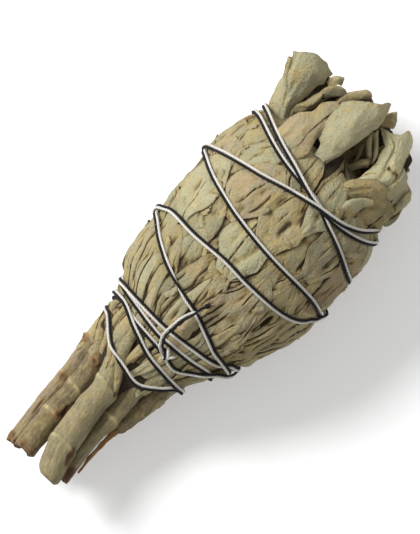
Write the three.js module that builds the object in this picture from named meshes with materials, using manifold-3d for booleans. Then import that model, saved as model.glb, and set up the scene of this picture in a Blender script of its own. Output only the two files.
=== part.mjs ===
// A tied bunch of dried white sage, lying on its side on a flat surface.
// Millimetres, +Z up. +X runs from the cut stem ends to the leaf tips, and the surface is z = 0.
import * as THREE from "three";
import Module from "manifold-3d";

const wasm = await Module();
wasm.setup();

// Driving dimensions
const GAP = 0.3; // clearance kept between neighbouring pieces
const THREAD_RADIUS = 0.4;
const THREAD_SIDES = 4;
const PAIR_OFFSET = THREAD_RADIUS + GAP / 2; // each thread's centre from the middle of the pair
const THREAD_HEIGHT = 0.4; // the pair's centre over the outline
const SURFACE_Z = 0.8; // the surface in the tables below: the leaves that would reach under it are flattened
const LOWEST_THREAD_Z = SURFACE_Z + THREAD_RADIUS + 0.05; // where the thread passes under the bunch
const LIFT_ROUNDING = 0.4;
const PRESSED_HEIGHT = -0.65; // nothing that the thread ties stands higher than this over the outline
const TIED_TO_X = 43.5; // leaves are free past this
const LEAF_DEPTH = 2.4; // outline to the packed mass that the pressed leaves lie on
const BLADE_THICKNESS = 0.9;
const STEM_SIDES = 8;

// From the middle of the tables below to the middle of the bunch's base
const TO_ORIGIN = [-0.52, 0.96, -SURFACE_Z];

// Outline of the tied leaves: x, half width, half height, centre y, centre z
const OUTLINE = [
  [-32, 13.4, 11.4, 0.8, 20.2],
  [-27, 14.0, 12.4, 0.4, 20.4],
  [-22, 15.5, 13.8, 0.0, 20.6],
  [-16, 18.2, 16.4, -0.6, 20.9],
  [-10, 20.7, 18.9, -0.6, 21.0],
  [-3, 22.7, 20.7, -1.1, 21.1],
  [6, 24.0, 21.8, -1.3, 21.2],
  [15, 24.6, 22.2, -1.0, 21.2],
  [24, 24.3, 21.9, -0.6, 21.2],
  [32, 23.7, 21.3, -0.7, 21.3],
  [38, 21.9, 19.9, -0.2, 21.4],
  [44, 18.6, 17.0, 0.6, 21.6],
  [50, 13.0, 12.0, 1.2, 21.8],
];

// Colours of the dried plant and of the two cotton threads
const LEAF_COLOUR = 0xa9a184;
const STEM_COLOUR = 0xa39a74;
const SPLINTER_COLOUR = 0x9a6a35;
const WHITE_THREAD_COLOUR = 0xe4e0da;
const BLACK_THREAD_COLOUR = 0x1d1b1e;

const RAD = Math.PI / 180;
const lerp = (a, b, t) => a + (b - a) * t;
const clamp = (v, low, high) => Math.min(high, Math.max(low, v));
const vec = (x, y, z) => new THREE.Vector3(x, y, z);

// A repeatable stream of numbers from 0 to 1.
function randomStream(seed) {
  let state = seed >>> 0;
  return () => {
    state = (state + 0x6d2b79f5) >>> 0;
    let t = state;
    t = Math.imul(t ^ (t >>> 15), t | 1);
    t ^= t + Math.imul(t ^ (t >>> 7), t | 61);
    return ((t ^ (t >>> 14)) >>> 0) / 4294967296;
  };
}

// A smooth curve through rows of numbers, whose first column is the key.
function alongRows(rows, key) {
  const last = rows.length - 1;
  let i = 0;
  while (i < last - 1 && key > rows[i + 1][0]) i += 1;
  const [p, q] = [rows[i], rows[i + 1]];
  const before = rows[Math.max(0, i - 1)];
  const after = rows[Math.min(last, i + 2)];
  const span = q[0] - p[0];
  const t = clamp((key - p[0]) / span, 0, 1);
  return p.slice(1).map((value, k) => {
    const next = q[k + 1];
    const slopeIn = ((next - before[k + 1]) / (q[0] - before[0])) * span;
    const slopeOut = ((after[k + 1] - value) / (after[0] - p[0])) * span;
    const [t2, t3] = [t * t, t * t * t];
    return (
      value * (2 * t3 - 3 * t2 + 1) +
      slopeIn * (t3 - 2 * t2 + t) +
      next * (3 * t2 - 2 * t3) +
      slopeOut * (t3 - t2)
    );
  });
}

// The point at x and angle on the outline, moved out by height. Angle 0 is up and 90 degrees is +Y.
function bunchPoint(x, angle, height) {
  const [halfWidth, halfHeight, y, z] = alongRows(OUTLINE, x);
  return vec(
    x,
    y + (halfWidth + height) * Math.sin(angle),
    z + (halfHeight + height) * Math.cos(angle),
  );
}

// Moves a point of a leaf in to where the thread holds it, depth below the highest tied place.
function tiedIn(p, depth) {
  if (p.x > TIED_TO_X) return p;
  const [halfWidth, halfHeight, y, z] = alongRows(OUTLINE, p.x);
  const most = PRESSED_HEIGHT - depth;
  const share = Math.hypot((p.y - y) / (halfWidth + most), (p.z - z) / (halfHeight + most));
  return share > 1 ? vec(p.x, y + (p.y - y) / share, z + (p.z - z) / share) : p;
}

// The larger of two heights, with the corner between them rounded off.
const liftedTo = (z, lowest) => (z + lowest + Math.hypot(z - lowest, LIFT_ROUNDING)) / 2;

function bunchRadius(x) {
  const [halfWidth, halfHeight] = alongRows(OUTLINE, x);
  return (halfWidth + halfHeight) / 2;
}

// A closed solid from its points and faces, turned to face out.
function solidOf(points, faces) {
  const vertProperties = new Float32Array(points.flatMap((p) => [p.x, p.y, p.z]));
  const build = (list) =>
    new wasm.Manifold(
      new wasm.Mesh({ numProp: 3, vertProperties, triVerts: new Uint32Array(list.flat()) }),
    );
  const made = build(faces);
  return made.volume() > 0 ? made : build(faces.map(([a, b, c]) => [a, c, b]));
}

// A solid through rings of equal numbers of points, closed by a fan at each end.
function loft(rings) {
  const sides = rings[0].length;
  const points = rings.flat();
  const faces = [];
  for (let i = 0; i + 1 < rings.length; i += 1) {
    for (let k = 0; k < sides; k += 1) {
      const next = (k + 1) % sides;
      const [a, b] = [i * sides + k, i * sides + next];
      faces.push([a, b, b + sides], [a, b + sides, a + sides]);
    }
  }
  for (const [start, flip] of [[0, true], [(rings.length - 1) * sides, false]]) {
    for (let k = 1; k + 1 < sides; k += 1) {
      const [b, c] = flip ? [start + k + 1, start + k] : [start + k, start + k + 1];
      faces.push([start, b, c]);
    }
  }
  return solidOf(points, faces);
}

// A thin solid between two grids of points, split alike on both faces.
function plate(top, bottom) {
  const [rows, columns] = [top.length, top[0].length];
  const points = [...top.flat(), ...bottom.flat()];
  const under = rows * columns;
  const at = (i, j) => i * columns + j;
  const faces = [];
  for (let i = 0; i + 1 < rows; i += 1) {
    for (let j = 0; j + 1 < columns; j += 1) {
      const [a, b, c, d] = [at(i, j), at(i, j + 1), at(i + 1, j + 1), at(i + 1, j)];
      faces.push([a, b, c], [a, c, d]);
      faces.push([a + under, c + under, b + under], [a + under, d + under, c + under]);
    }
  }
  const rim = [];
  for (let j = 0; j < columns; j += 1) rim.push(at(0, j));
  for (let i = 1; i < rows; i += 1) rim.push(at(i, columns - 1));
  for (let j = columns - 2; j >= 0; j -= 1) rim.push(at(rows - 1, j));
  for (let i = rows - 2; i > 0; i -= 1) rim.push(at(i, 0));
  rim.forEach((a, k) => {
    const b = rim[(k + 1) % rim.length];
    faces.push([b, a, a + under], [b, a + under, b + under]);
  });
  return solidOf(points, faces);
}

// A tube along points, with each ring square to the path and turned by its own up direction.
function tube(path, ups, radii, sides) {
  const rings = path.map((p, i) => {
    const along = path[Math.min(i + 1, path.length - 1)]
      .clone()
      .sub(path[Math.max(i - 1, 0)])
      .normalize();
    const side = along.clone().cross(ups[i]).normalize();
    const up = side.clone().cross(along).normalize();
    return Array.from({ length: sides }, (_, k) => {
      const turn = (2 * Math.PI * k) / sides;
      return p
        .clone()
        .addScaledVector(side, radii[i] * Math.cos(turn))
        .addScaledVector(up, radii[i] * Math.sin(turn));
    });
  });
  return loft(rings);
}

// Half width of a sage leaf from its stalk at 0 to its tip at 1, as a share of its widest.
const leafShare = (t) => 0.2 + 0.8 * Math.sin(Math.PI * Math.pow(t, 0.85)) ** 0.7;

// The packed mass that the pressed leaves lie on.
function packedMass() {
  const sides = 16;
  const stations = [-27, -21, -12, -1, 12, 26, 38, 44, 47];
  const rings = stations.map((x) =>
    Array.from({ length: sides }, (_, k) => {
      const end = x > 40 ? -(x - 40) * 0.7 : 0;
      return bunchPoint(x, (2 * Math.PI * k) / sides, -LEAF_DEPTH + end);
    }),
  );
  return loft(rings);
}

// A leaf pressed on the bunch. Its one edge lies over its neighbour, so it stands higher.
function pressedLeaf({ x, angle, slant, length, width, lift }) {
  const [lengthSteps, widthSteps] = [4, 2];
  const grid = (height) =>
    Array.from({ length: lengthSteps + 1 }, (_, i) => {
      const t = i / lengthSteps;
      return Array.from({ length: widthSteps + 1 }, (_, j) => {
        const across = (2 * j) / widthSteps - 1;
        const aside = (across * width * leafShare(clamp(t, 0.001, 0.999))) / 2;
        const px = x + t * length * Math.cos(slant) - aside * Math.sin(slant);
        const arc = t * length * Math.sin(slant) + aside * Math.cos(slant);
        return bunchPoint(px, angle + arc / bunchRadius(px), height(t, across));
      });
    });
  const top = (t, across) =>
    Math.min(PRESSED_HEIGHT, -1.5 + lift + 0.5 * across + 0.35 * (1 - across * across));
  return plate(grid(top), grid(() => -LEAF_DEPTH - 1.2));
}

// Rows of pressed leaves from the neck to the crown: start, leaves, length, width
const PRESSED_ROWS = [
  [-14, 11, 30, 12.5],
  [5, 11, 30, 14],
  [21, 11, 24, 13.5],
];

function pressedLeaves() {
  const random = randomStream(11);
  return PRESSED_ROWS.flatMap(([start, count, length, width], row) =>
    Array.from({ length: count }, (_, k) => {
      const angle = ((k + 0.5 * (row % 2) + 0.4 * (random() - 0.5)) * 2 * Math.PI) / count;
      return pressedLeaf({
        x: start + 5 * (random() - 0.5),
        angle,
        slant: (random() - 0.5) * 30 * RAD,
        length: length * (0.9 + 0.25 * random()),
        width: width * (0.85 + 0.3 * random()),
        lift: 0.6 * random(),
      });
    }),
  );
}

// The gathered leaf bases of the neck, as narrow pleats that widen towards the body.
function neckPleats() {
  const count = 16;
  const random = randomStream(23);
  return Array.from({ length: count }, (_, k) => {
    const angle = ((k + 0.3 * (random() - 0.5)) * 2 * Math.PI) / count;
    const start = -29.5 + 4 * random();
    const lift = 0.6 * random();
    const stations = [start, -22, -15, -9];
    const grid = (height) =>
      stations.map((x) =>
        [-1, 0, 1].map((across) => {
          const share = ((0.42 * 2 * Math.PI) / count) * across;
          return bunchPoint(x, angle + share, height(across));
        }),
      );
    return plate(
      grid((across) => PRESSED_HEIGHT - 1.4 + lift + 0.8 * (1 - Math.abs(across))),
      grid(() => -LEAF_DEPTH - 1.2),
    );
  });
}

// The loose leaves of the crown that show from above:
// base, tip, width, face direction, bow along the leaf, cup across it (a share of the width), wave
const CROWN_LEAVES = [
  [[36, 15.5, 30], [61.5, 21, 33], 12.5, [0, 0.2, 1], 1.6, 0.16, 0.5],
  [[36, 18.5, 25], [56, 24.2, 26], 7.5, [0, 0.9, 0.45], 1.0, 0.12, 0.3],
  [[42, 12, 30], [60.5, 8.5, 31], 7, [0, -0.3, 1], 1.8, -0.3, 0.4],
  [[46, 13, 26], [61, 12.2, 29], 5, [0, 0.3, 1], 0.8, 0.3, 0.2],
  [[46, 7, 31], [63.2, 3.5, 32], 6.5, [0, 0, 1], 1.2, 0.2, 0.3],
  [[37, 4.5, 38], [63.6, -2, 34.5], 12.5, [0, 0, 1], 2.2, -0.1, 0.4],
  [[31, 8.5, 39.5], [55.8, 8.5, 37], 10.5, [0, 0.2, 1], 1.8, -0.16, 0.4],
  [[40, -13, 28], [62.5, -10, 25.5], 9.5, [0, -0.5, 0.85], 3.2, 0.28, 0.9],
  [[50, -4, 27], [62.6, -5.5, 28.5], 3.2, [0, 0, 1], 0.6, 0.3, 0.1],
  [[30, -11.5, 36.5], [53, -18, 27], 9.5, [0, -0.6, 0.8], 2.6, 0.14, 0.7],
  [[24, -5, 41], [46, -8.8, 37.5], 8, [0, -0.2, 1], 1.5, -0.1, 0.3],
  [[30, -17.5, 29], [50.5, -20.5, 22], 9, [0, -0.95, 0.3], 2.0, 0.16, 0.6],
  [[40, -4, 25], [55, -9, 29], 5.5, [0, 0.5, 0.8], 1.2, 0.24, 0.3],
  [[42, 2, 23], [58, 0, 26], 6.5, [0, -0.4, 0.9], 1.0, 0.2, 0.3],
];

// The crown's hidden side and its inside, placed by rule: leaves, base x, base share of the
// outline, tip x, tip share of the outline, width, first angle and last angle in degrees
const CROWN_RINGS = [
  [8, 33, 0.9, 55, 0.86, 11, 100, 262],
  [5, 40, 0.5, 58, 0.62, 8.5, 75, 290],
  [3, 40, 0.2, 60, 0.25, 7, 20, 290],
];

function crownRingLeaves() {
  const random = randomStream(37);
  return CROWN_RINGS.flatMap(([count, baseX, baseShare, tipX, tipShare, width, first, last]) =>
    Array.from({ length: count }, (_, k) => {
      const angle = (lerp(first, last, k / (count - 1)) + 8 * (random() - 0.5)) * RAD;
      const place = (x, share, turn) => {
        const [halfWidth, halfHeight] = alongRows(OUTLINE, 30);
        const [, , y, z] = alongRows(OUTLINE, x);
        return [x, y + halfWidth * share * Math.sin(turn), z + halfHeight * share * Math.cos(turn)];
      };
      const face = [0, Math.sin(angle), Math.cos(angle)];
      return [
        place(baseX, baseShare, angle),
        place(tipX + 6 * (random() - 0.5), tipShare, angle + 0.3 * (random() - 0.5)),
        width * (0.85 + 0.3 * random()),
        face,
        1 + 2 * random(),
        0.3 * (random() - 0.4),
        0.4 + 0.4 * random(),
      ];
    }),
  );
}

// A free leaf: a thin arched and waved blade from its base to its tip.
function freeLeaf([base, tip, width, face, bow, cup, wave], lengthSteps, widthSteps) {
  const [from, to] = [vec(...base), vec(...tip)];
  const along = to.clone().sub(from).normalize();
  const side = vec(...face).cross(along).normalize();
  const up = along.clone().cross(side).normalize();
  const grid = (drop) =>
    Array.from({ length: lengthSteps + 1 }, (_, i) => {
      const t = i / lengthSteps;
      return Array.from({ length: widthSteps + 1 }, (_, j) => {
        const across = (2 * j) / widthSteps - 1;
        const share = leafShare(clamp(t, 0.001, 0.999));
        const height =
          bow * Math.sin(Math.PI * t) +
          cup * width * across * across * share +
          wave * across * Math.sin(2 * Math.PI * t + width);
        const p = from
          .clone()
          .lerp(to, t)
          .addScaledVector(side, (across * share * width) / 2)
          .addScaledVector(up, height - drop);
        return tiedIn(p, drop);
      });
    });
  return plate(grid(0), grid(BLADE_THICKNESS));
}

// Woody stems from the cut end to the tip inside the leaves: x, y, z, radius.
// The ring of an old leaf pair stands at each place in rings.
const STEMS = {
  stem_front: {
    path: [
      [-61.5, -3.6, 21.6, 3.7], [-55.3, -1.4, 22, 3.7], [-43.2, 0.4, 23, 3.5], [-36.7, 0.8, 24.2, 3.3],
      [-26.5, 4.6, 26.6, 2.9], [-10, 5, 27.5, 2.4], [34, 4, 27, 1.3],
    ],
    rings: [-54.5, -36.5],
  },
  stem_left: {
    path: [
      [-60, 5.2, 16.8, 3.1], [-49.8, 5.8, 17.4, 3.1], [-41.9, 5.9, 18, 3.0], [-33.5, 7.2, 20, 2.8],
      [-26, 8.2, 21.2, 2.6], [-10, 9.5, 22, 2.2], [32, 9, 22, 1.2],
    ],
    rings: [-51, -42.5, -33],
  },
  stem_far_left: {
    path: [
      [-61.8, 8.9, 12.8, 2.2], [-48.8, 10.3, 13.6, 2.2], [-41.8, 10.4, 14.4, 2.2], [-30, 11.6, 17, 2.1],
      [-22.7, 12, 18, 2.0], [-8, 13, 17, 1.8], [30, 13, 16, 1.1],
    ],
    rings: [-42, -31],
  },
  stem_behind: {
    path: [
      [-56, 1.2, 12.8, 2.0], [-47.8, 1.4, 13.4, 2.0], [-36, 1.9, 15.6, 2.0], [-24, 2.5, 19.5, 1.9],
      [-8, 1.5, 21, 1.7], [36, 0, 21, 1.0],
    ],
    rings: [-45],
  },
  stem_right: {
    path: [
      [-61, -7, 16.8, 1.9], [-48.6, -5.3, 18.6, 1.9], [-41.6, -5.3, 20, 2.0], [-33.7, -4.2, 21.4, 2.0],
      [-24, -3.2, 24, 2.0], [-8, -5, 27, 1.8], [34, -5, 28, 1.1],
    ],
    rings: [-42],
  },
  stem_far_right: {
    path: [
      [-42.8, -8.3, 16.2, 2.0], [-35.3, -9.7, 17, 2.1], [-28.1, -10.6, 18.2, 2.1], [-20, -11.2, 19.5, 2.0],
      [-5, -13, 20, 1.6], [28, -13, 20, 1.1],
    ],
    rings: [-36],
  },
  stem_under_right: {
    path: [
      [-58, -3.2, 13.4, 2.3], [-46, -3.4, 14.4, 2.3], [-34, -4.5, 16.4, 2.2], [-24, -5.6, 18, 2.1],
      [-8, -7, 16, 1.8], [32, -6, 15, 1.1],
    ],
    rings: [-50, -37],
  },
  stem_under_left: {
    path: [
      [-59, 5.2, 9.2, 2.2], [-46, 6.2, 11.2, 2.2], [-34, 6.4, 13, 2.2], [-24, 6.6, 14.6, 2.1],
      [-8, 7, 13, 1.8], [32, 6, 13, 1.1],
    ],
    rings: [-47, -34],
  },
  stem_splinter: {
    path: [
      [-57, -8.8, 15.2, 0.35], [-52, -8.4, 14.6, 0.7], [-45, -8, 13.2, 0.9], [-36, -9, 13.2, 0.9],
      [-24, -10.6, 13.4, 0.9], [-12, -11, 13.5, 0.6],
    ],
    rings: [],
  },
};
const RING_SWELL = 0.1; // how far a leaf ring stands out, as a share of the stem's radius
const RING_HALF_WIDTH = 0.9;

function stemSolid({ path, rings }, extra) {
  const [start, end] = [path[0][0], path[path.length - 1][0]];
  const stations = new Set([start, end, -24, -8]);
  for (let x = start + 3; x < -24; x += 6) stations.add(x);
  for (const x of rings) {
    for (const step of [-2 * RING_HALF_WIDTH, -RING_HALF_WIDTH / 2, RING_HALF_WIDTH]) {
      stations.add(x + step);
    }
  }
  const xs = [...stations].filter((x) => x >= start && x <= end).sort((a, b) => a - b);
  const kept = xs.filter((x, i) => i === 0 || x - xs[i - 1] > 0.7);
  const centres = kept.map((x) => alongRows(path, x));
  const swell = (x) => (rings.some((ring) => Math.abs(x - ring) < RING_HALF_WIDTH) ? RING_SWELL : 0);
  const reach = extra > 0 ? 0.5 : 0; // the clearance runs past both ends as well
  const points = kept.map((x, i) => {
    const shift = i === 0 ? -reach : i === kept.length - 1 ? reach : 0;
    return vec(x + shift, centres[i][0], centres[i][1]);
  });
  const radii = kept.map((x, i) => centres[i][2] * (1 + swell(x)) + extra);
  return tube(points, points.map(() => vec(0, 0, 1)), radii, STEM_SIDES);
}

// The route of the thread pair round the bunch, from the knot and back: x, angle in degrees.
// Each full turn adds 360 degrees; 0 is the top of the bunch and 90 is its +Y side.
const WINDING = [
  [-20.3, -12], [-19.3, 31], [-17.9, 60], [-21.5, 180],
  [-24.9, 293], [-27.7, 312], [-30.6, 336], [-29.8, 361], [-27.8, 390], [-22.5, 430], [-23.5, 540],
  [-24.4, 655], [-24.1, 688], [-23.3, 714], [-20.9, 741], [-17.8, 775], [-18.2, 900],
  [-16.4, 1018], [-17.3, 1045], [-17.7, 1067], [-17.8, 1086], [-15.7, 1135], [-10.5, 1255],
  [-10.9, 1370], [-13.3, 1386], [-14.6, 1415], [-15.4, 1442], [-15.3, 1466], [-14.8, 1502], [-14.8, 1620],
  [-11.8, 1755], [-9.8, 1776], [-7.7, 1793], [-6.4, 1809], [-3.6, 1832], [-1.3, 1846], [2.8, 1873], [9, 1980],
  [13.3, 2078], [14.7, 2108], [15.3, 2148], [16.9, 2177], [19.4, 2203], [22.8, 2239], [24, 2340],
  [25.1, 2446], [30.4, 2492], [33.1, 2509], [34.8, 2538], [39, 2590], [37, 2700],
  [36.4, 2790], [32.6, 2845], [32.8, 2869], [36.5, 2898], [41.4, 2950], [41.4, 3060],
  [38.8, 3161], [33.7, 3207], [32.4, 3227], [30.4, 3248], [28.3, 3267], [24.8, 3318], [19.5, 3420],
  [13.6, 3518], [9.5, 3533], [7.1, 3555], [6.5, 3585], [6.9, 3606], [6.4, 3630], [6.4, 3667], [-4, 3780],
  [-13.8, 3884], [-20.1, 3912], [-21.5, 3925], [-20.6, 3943],
];
// The loose ends past the knot: x, angle in degrees, height over the outline
const TAIL = [[-19.6, 3954, 2.2], [-16.8, 3960, 3.4], [-12.5, 3959, 3.2], [-8, 3955.5, 2.1], [-4.2, 3952, 0.9]];
// Where the two threads change sides, in degrees of the winding
const SIDE_SWAPS = [380, 470, 1250, 1817, 3452];
const SWAP_SPAN = 44;
const FINE_STEP = 6; // degrees of winding between points, before the straight ones are left out
const LAYER = 2 * THREAD_RADIUS + 0.5; // how much higher a turn runs where it crosses an earlier one
const CROSS_NEAR = 1.95; // closer than this to an earlier turn, a turn lies fully on it
const CROSS_FAR = 3.6;
const STRAIGHT_WITHIN = 0.25;

// The pair's points with the directions out of the bunch and square to the run.
function windingPoints() {
  const last = WINDING[WINDING.length - 1][1];
  const byAngle = WINDING.map(([x, angle]) => [angle, x]);
  const points = [];
  for (let angle = WINDING[0][1]; angle <= last; angle += FINE_STEP) {
    points.push({ x: alongRows(byAngle, angle)[0], angle, height: THREAD_HEIGHT });
  }
  points.forEach((p) => {
    p.at = bunchPoint(p.x, p.angle * RAD, p.height);
  });
  const skip = Math.round(120 / FINE_STEP);
  points.forEach((p, i) => {
    let rise = 0;
    for (let j = 0; j < i - skip; j += 1) {
      const apart = p.at.distanceTo(points[j].at);
      if (apart < CROSS_FAR) {
        const t = clamp((CROSS_FAR - apart) / (CROSS_FAR - CROSS_NEAR), 0, 1);
        rise = Math.max(rise, (points[j].rise + LAYER) * t * t * (3 - 2 * t));
      }
    }
    p.rise = rise;
  });
  const tailRows = TAIL.map(([x, angle, height], i) => [i, x, angle, height]);
  for (let i = 0; i <= TAIL.length - 1; i += 0.5) {
    const [x, angle, height] = alongRows(tailRows, i);
    points.push({ x, angle, height, rise: LAYER });
  }
  return points.map(({ x, angle, height, rise }) => {
    const at = bunchPoint(x, angle * RAD, height + rise);
    at.z = liftedTo(at.z, LOWEST_THREAD_Z);
    const out = vec(0, Math.sin(angle * RAD), Math.cos(angle * RAD));
    const swaps = SIDE_SWAPS.reduce((sum, place) => {
      const t = clamp((angle - place) / SWAP_SPAN + 0.5, 0, 1);
      return sum + t * t * (3 - 2 * t);
    }, 0);
    return { at, out, turn: Math.PI * swaps };
  });
}

// One thread's own centreline: side is 1 for the thread that starts nearer the crown, -1 for the other.
function threadLine(points, side) {
  let before = vec(1, 0, 0);
  return points.map(({ at, out, turn }, i) => {
    const along = points[Math.min(i + 1, points.length - 1)].at
      .clone()
      .sub(points[Math.max(i - 1, 0)].at)
      .normalize();
    const across = along.clone().cross(out).normalize();
    if (across.dot(before) < 0) across.negate();
    before = across;
    const own = at
      .clone()
      .addScaledVector(across, side * PAIR_OFFSET * Math.cos(turn))
      .addScaledVector(out, PAIR_OFFSET * (side * Math.sin(turn) + Math.abs(Math.sin(turn))));
    own.z = Math.max(own.z, LOWEST_THREAD_Z);
    return { at: own, up: out.clone() };
  });
}

// Leaves out the points that lie on a straight stretch.
function withoutStraights(line) {
  const keep = new Set([0, line.length - 1]);
  const visit = (from, to) => {
    let [worst, place] = [0, -1];
    const chord = new THREE.Line3(line[from].at, line[to].at);
    for (let i = from + 1; i < to; i += 1) {
      const nearest = chord.closestPointToPoint(line[i].at, true, vec(0, 0, 0));
      const off = nearest.distanceTo(line[i].at);
      if (off > worst) [worst, place] = [off, i];
    }
    if (worst > STRAIGHT_WITHIN) {
      keep.add(place);
      visit(from, place);
      visit(place, to);
    }
  };
  const block = 40;
  for (let i = 0; i < line.length - 1; i += block) {
    const to = Math.min(i + block, line.length - 1);
    keep.add(i);
    visit(i, to);
  }
  return [...keep].sort((a, b) => a - b).map((i) => line[i]);
}

function threadSolid(line, extra) {
  const radii = line.map(() => THREAD_RADIUS + extra);
  return tube(line.map((p) => p.at), line.map((p) => p.up), radii, THREAD_SIDES);
}

// Everything above the resting surface.
function aboveSurface(solid) {
  return solid.trimByPlane([0, 0, 1], SURFACE_Z);
}

// The largest body of a solid. Loose scraps and sealed hollows are dropped.
function largestBody(solid) {
  return solid.decompose().reduce((best, body) => (body.volume() > best.volume() ? body : best));
}

function meshOf(name, solid, colour, roughness) {
  const { numProp, vertProperties, triVerts } = solid.getMesh();
  const positions = new Float32Array((vertProperties.length / numProp) * 3);
  for (let i = 0; i < positions.length / 3; i += 1) {
    positions.set(vertProperties.subarray(i * numProp, i * numProp + 3), i * 3);
  }
  const geometry = new THREE.BufferGeometry()
    .setAttribute("position", new THREE.BufferAttribute(positions, 3))
    .setIndex(new THREE.BufferAttribute(triVerts, 1));
  const material = new THREE.MeshStandardMaterial({ color: colour, roughness, metalness: 0 });
  const mesh = new THREE.Mesh(geometry, material);
  mesh.name = name;
  return mesh;
}

const points = windingPoints();
const whiteLine = withoutStraights(threadLine(points, 1));
const blackLine = withoutStraights(threadLine(points, -1));

const blades = [
  packedMass(),
  ...neckPleats(),
  ...pressedLeaves(),
  ...CROWN_LEAVES.map((leaf) => freeLeaf(leaf, 5, 3)),
  ...crownRingLeaves().map((leaf) => freeLeaf(leaf, 4, 2)),
];
const room = [
  ...Object.values(STEMS).map((stem) => stemSolid(stem, GAP)),
  ...[whiteLine, blackLine].map((line) => threadSolid(line, GAP)),
];
const leaves = largestBody(
  aboveSurface(wasm.Manifold.union(blades)).subtract(wasm.Manifold.union(room)),
);

const bunch = new THREE.Group();
bunch.name = "sage_bunch";
bunch.position.set(...TO_ORIGIN);
bunch.add(meshOf("leaves", leaves, LEAF_COLOUR, 0.95));
for (const [name, stem] of Object.entries(STEMS)) {
  const solid = stemSolid(stem, 0);
  const colour = name === "stem_splinter" ? SPLINTER_COLOUR : STEM_COLOUR;
  bunch.add(meshOf(name, solid, colour, 0.85));
}
bunch.add(meshOf("thread_white", threadSolid(whiteLine, 0), WHITE_THREAD_COLOUR, 0.9));
bunch.add(meshOf("thread_black", threadSolid(blackLine, 0), BLACK_THREAD_COLOUR, 0.9));

export default bunch;
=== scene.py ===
import math

import bpy
import numpy as np
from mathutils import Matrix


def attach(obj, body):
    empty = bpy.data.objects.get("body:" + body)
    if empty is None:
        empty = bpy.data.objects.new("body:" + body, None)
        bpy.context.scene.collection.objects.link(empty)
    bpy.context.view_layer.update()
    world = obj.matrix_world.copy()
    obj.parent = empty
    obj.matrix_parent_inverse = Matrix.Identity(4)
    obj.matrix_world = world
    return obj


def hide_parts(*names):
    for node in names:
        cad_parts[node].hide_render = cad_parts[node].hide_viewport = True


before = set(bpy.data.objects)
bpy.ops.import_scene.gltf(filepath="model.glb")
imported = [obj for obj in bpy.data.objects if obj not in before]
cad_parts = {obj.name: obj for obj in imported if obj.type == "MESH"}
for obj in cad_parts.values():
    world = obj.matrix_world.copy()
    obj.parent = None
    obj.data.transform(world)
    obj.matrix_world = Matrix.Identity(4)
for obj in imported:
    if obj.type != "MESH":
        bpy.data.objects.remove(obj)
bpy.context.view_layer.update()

# A tied bunch of dried white sage. The tables are in millimetres, as in the part's source;
# row() turns them into the row frame in metres.
TO_ORIGIN = np.array([-0.52, 0.96, -0.8])  # from the middle of the tables to the middle of the base
SURFACE_Z = 0.8  # the surface that the bunch lies on, in the tables
MM = 0.001

THREAD_RADIUS = 0.35
PAIR_OFFSET = 0.37  # each thread's centre from the middle of the pair
THREAD_HEIGHT = 0.33  # the pair's centre over the outline
LAYER = 0.74  # how much higher a turn runs where it crosses an earlier one
CROSS_NEAR = 1.5  # closer than this to an earlier turn, a turn lies fully on it
CROSS_FAR = 3.4
LEAF_DEPTH = 2.1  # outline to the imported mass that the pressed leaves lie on
CRUMPLE = 0.12  # height of the small unevenness of a pressed leaf
SHARP_ANGLE = math.radians(60)  # faces that meet at more than this show an edge

BUNCH_MIDDLE = np.array([0, 0, 21.0])

# Outline of the tied leaves: x, half width, half height, centre y, centre z
OUTLINE = [
    [-32, 12.4, 10.9, 1.0, 20.2],
    [-27, 12.9, 11.7, 0.6, 20.4],
    [-22, 14.0, 12.9, 0.3, 20.6],
    [-16, 16.2, 15.2, -0.8, 20.9],
    [-10, 19.5, 18.0, -0.4, 21.0],
    [-3, 21.9, 20.2, -0.8, 21.1],
    [6, 23.4, 21.6, -1.5, 21.2],
    [15, 24.4, 22.2, -1.2, 21.2],
    [24, 24.2, 21.9, -0.7, 21.2],
    [32, 23.9, 21.3, -0.9, 21.3],
    [38, 21.9, 19.9, -0.2, 21.4],
    [44, 18.6, 17.0, 0.6, 21.6],
    [50, 13.0, 12.0, 1.2, 21.8],
]


def row(points):
    """Points of the tables in the row frame, in metres."""
    return (np.asarray(points, float) + TO_ORIGIN) * MM


def srgb(red, green, blue):
    """A colour seen as 0 to 255 on a screen, as the linear colour that a shader takes."""
    shares = np.array([red, green, blue]) / 255
    linear = np.where(shares <= 0.04045, shares / 12.92, ((shares + 0.055) / 1.055) ** 2.4)
    return (*[float(v) for v in linear], 1.0)


def smooth_step(t):
    t = np.clip(t, 0, 1)
    return t * t * (3 - 2 * t)


def unit(v):
    return v / np.maximum(np.linalg.norm(v, axis=-1, keepdims=True), 1e-12)


def bell(t):
    """1 at 0, and next to nothing from 2 on."""
    return np.exp(-(t**2))


def stacked(*parts):
    """Arrays or numbers side by side, along a new last axis."""
    return np.stack(np.broadcast_arrays(*parts), axis=-1)


def grid_of(rows, columns):
    return np.meshgrid(rows, columns, indexing="ij")


def full_turn(sides):
    return np.linspace(0, 2 * np.pi, sides + 1)[:-1]


def short_turn(angle):
    """The same turn, the short way round: from -pi to pi."""
    return (angle + np.pi) % (2 * np.pi) - np.pi


def outward(angle):
    """The direction out of the bunch at an angle round it."""
    return stacked(0 * angle, np.sin(angle), np.cos(angle))


def normals_of(surface):
    return unit(np.cross(np.gradient(surface, axis=0), np.gradient(surface, axis=1)))


def random_stream(seed):
    """The same repeatable stream of numbers from 0 to 1 as in the part's source."""
    mask = 0xFFFFFFFF
    state = seed & mask
    while True:
        state = (state + 0x6D2B79F5) & mask
        t = ((state ^ (state >> 15)) * (state | 1)) & mask
        t ^= (t + (((t ^ (t >> 7)) * (t | 61)) & mask)) & mask
        yield (t ^ (t >> 14)) / 4294967296


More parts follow.
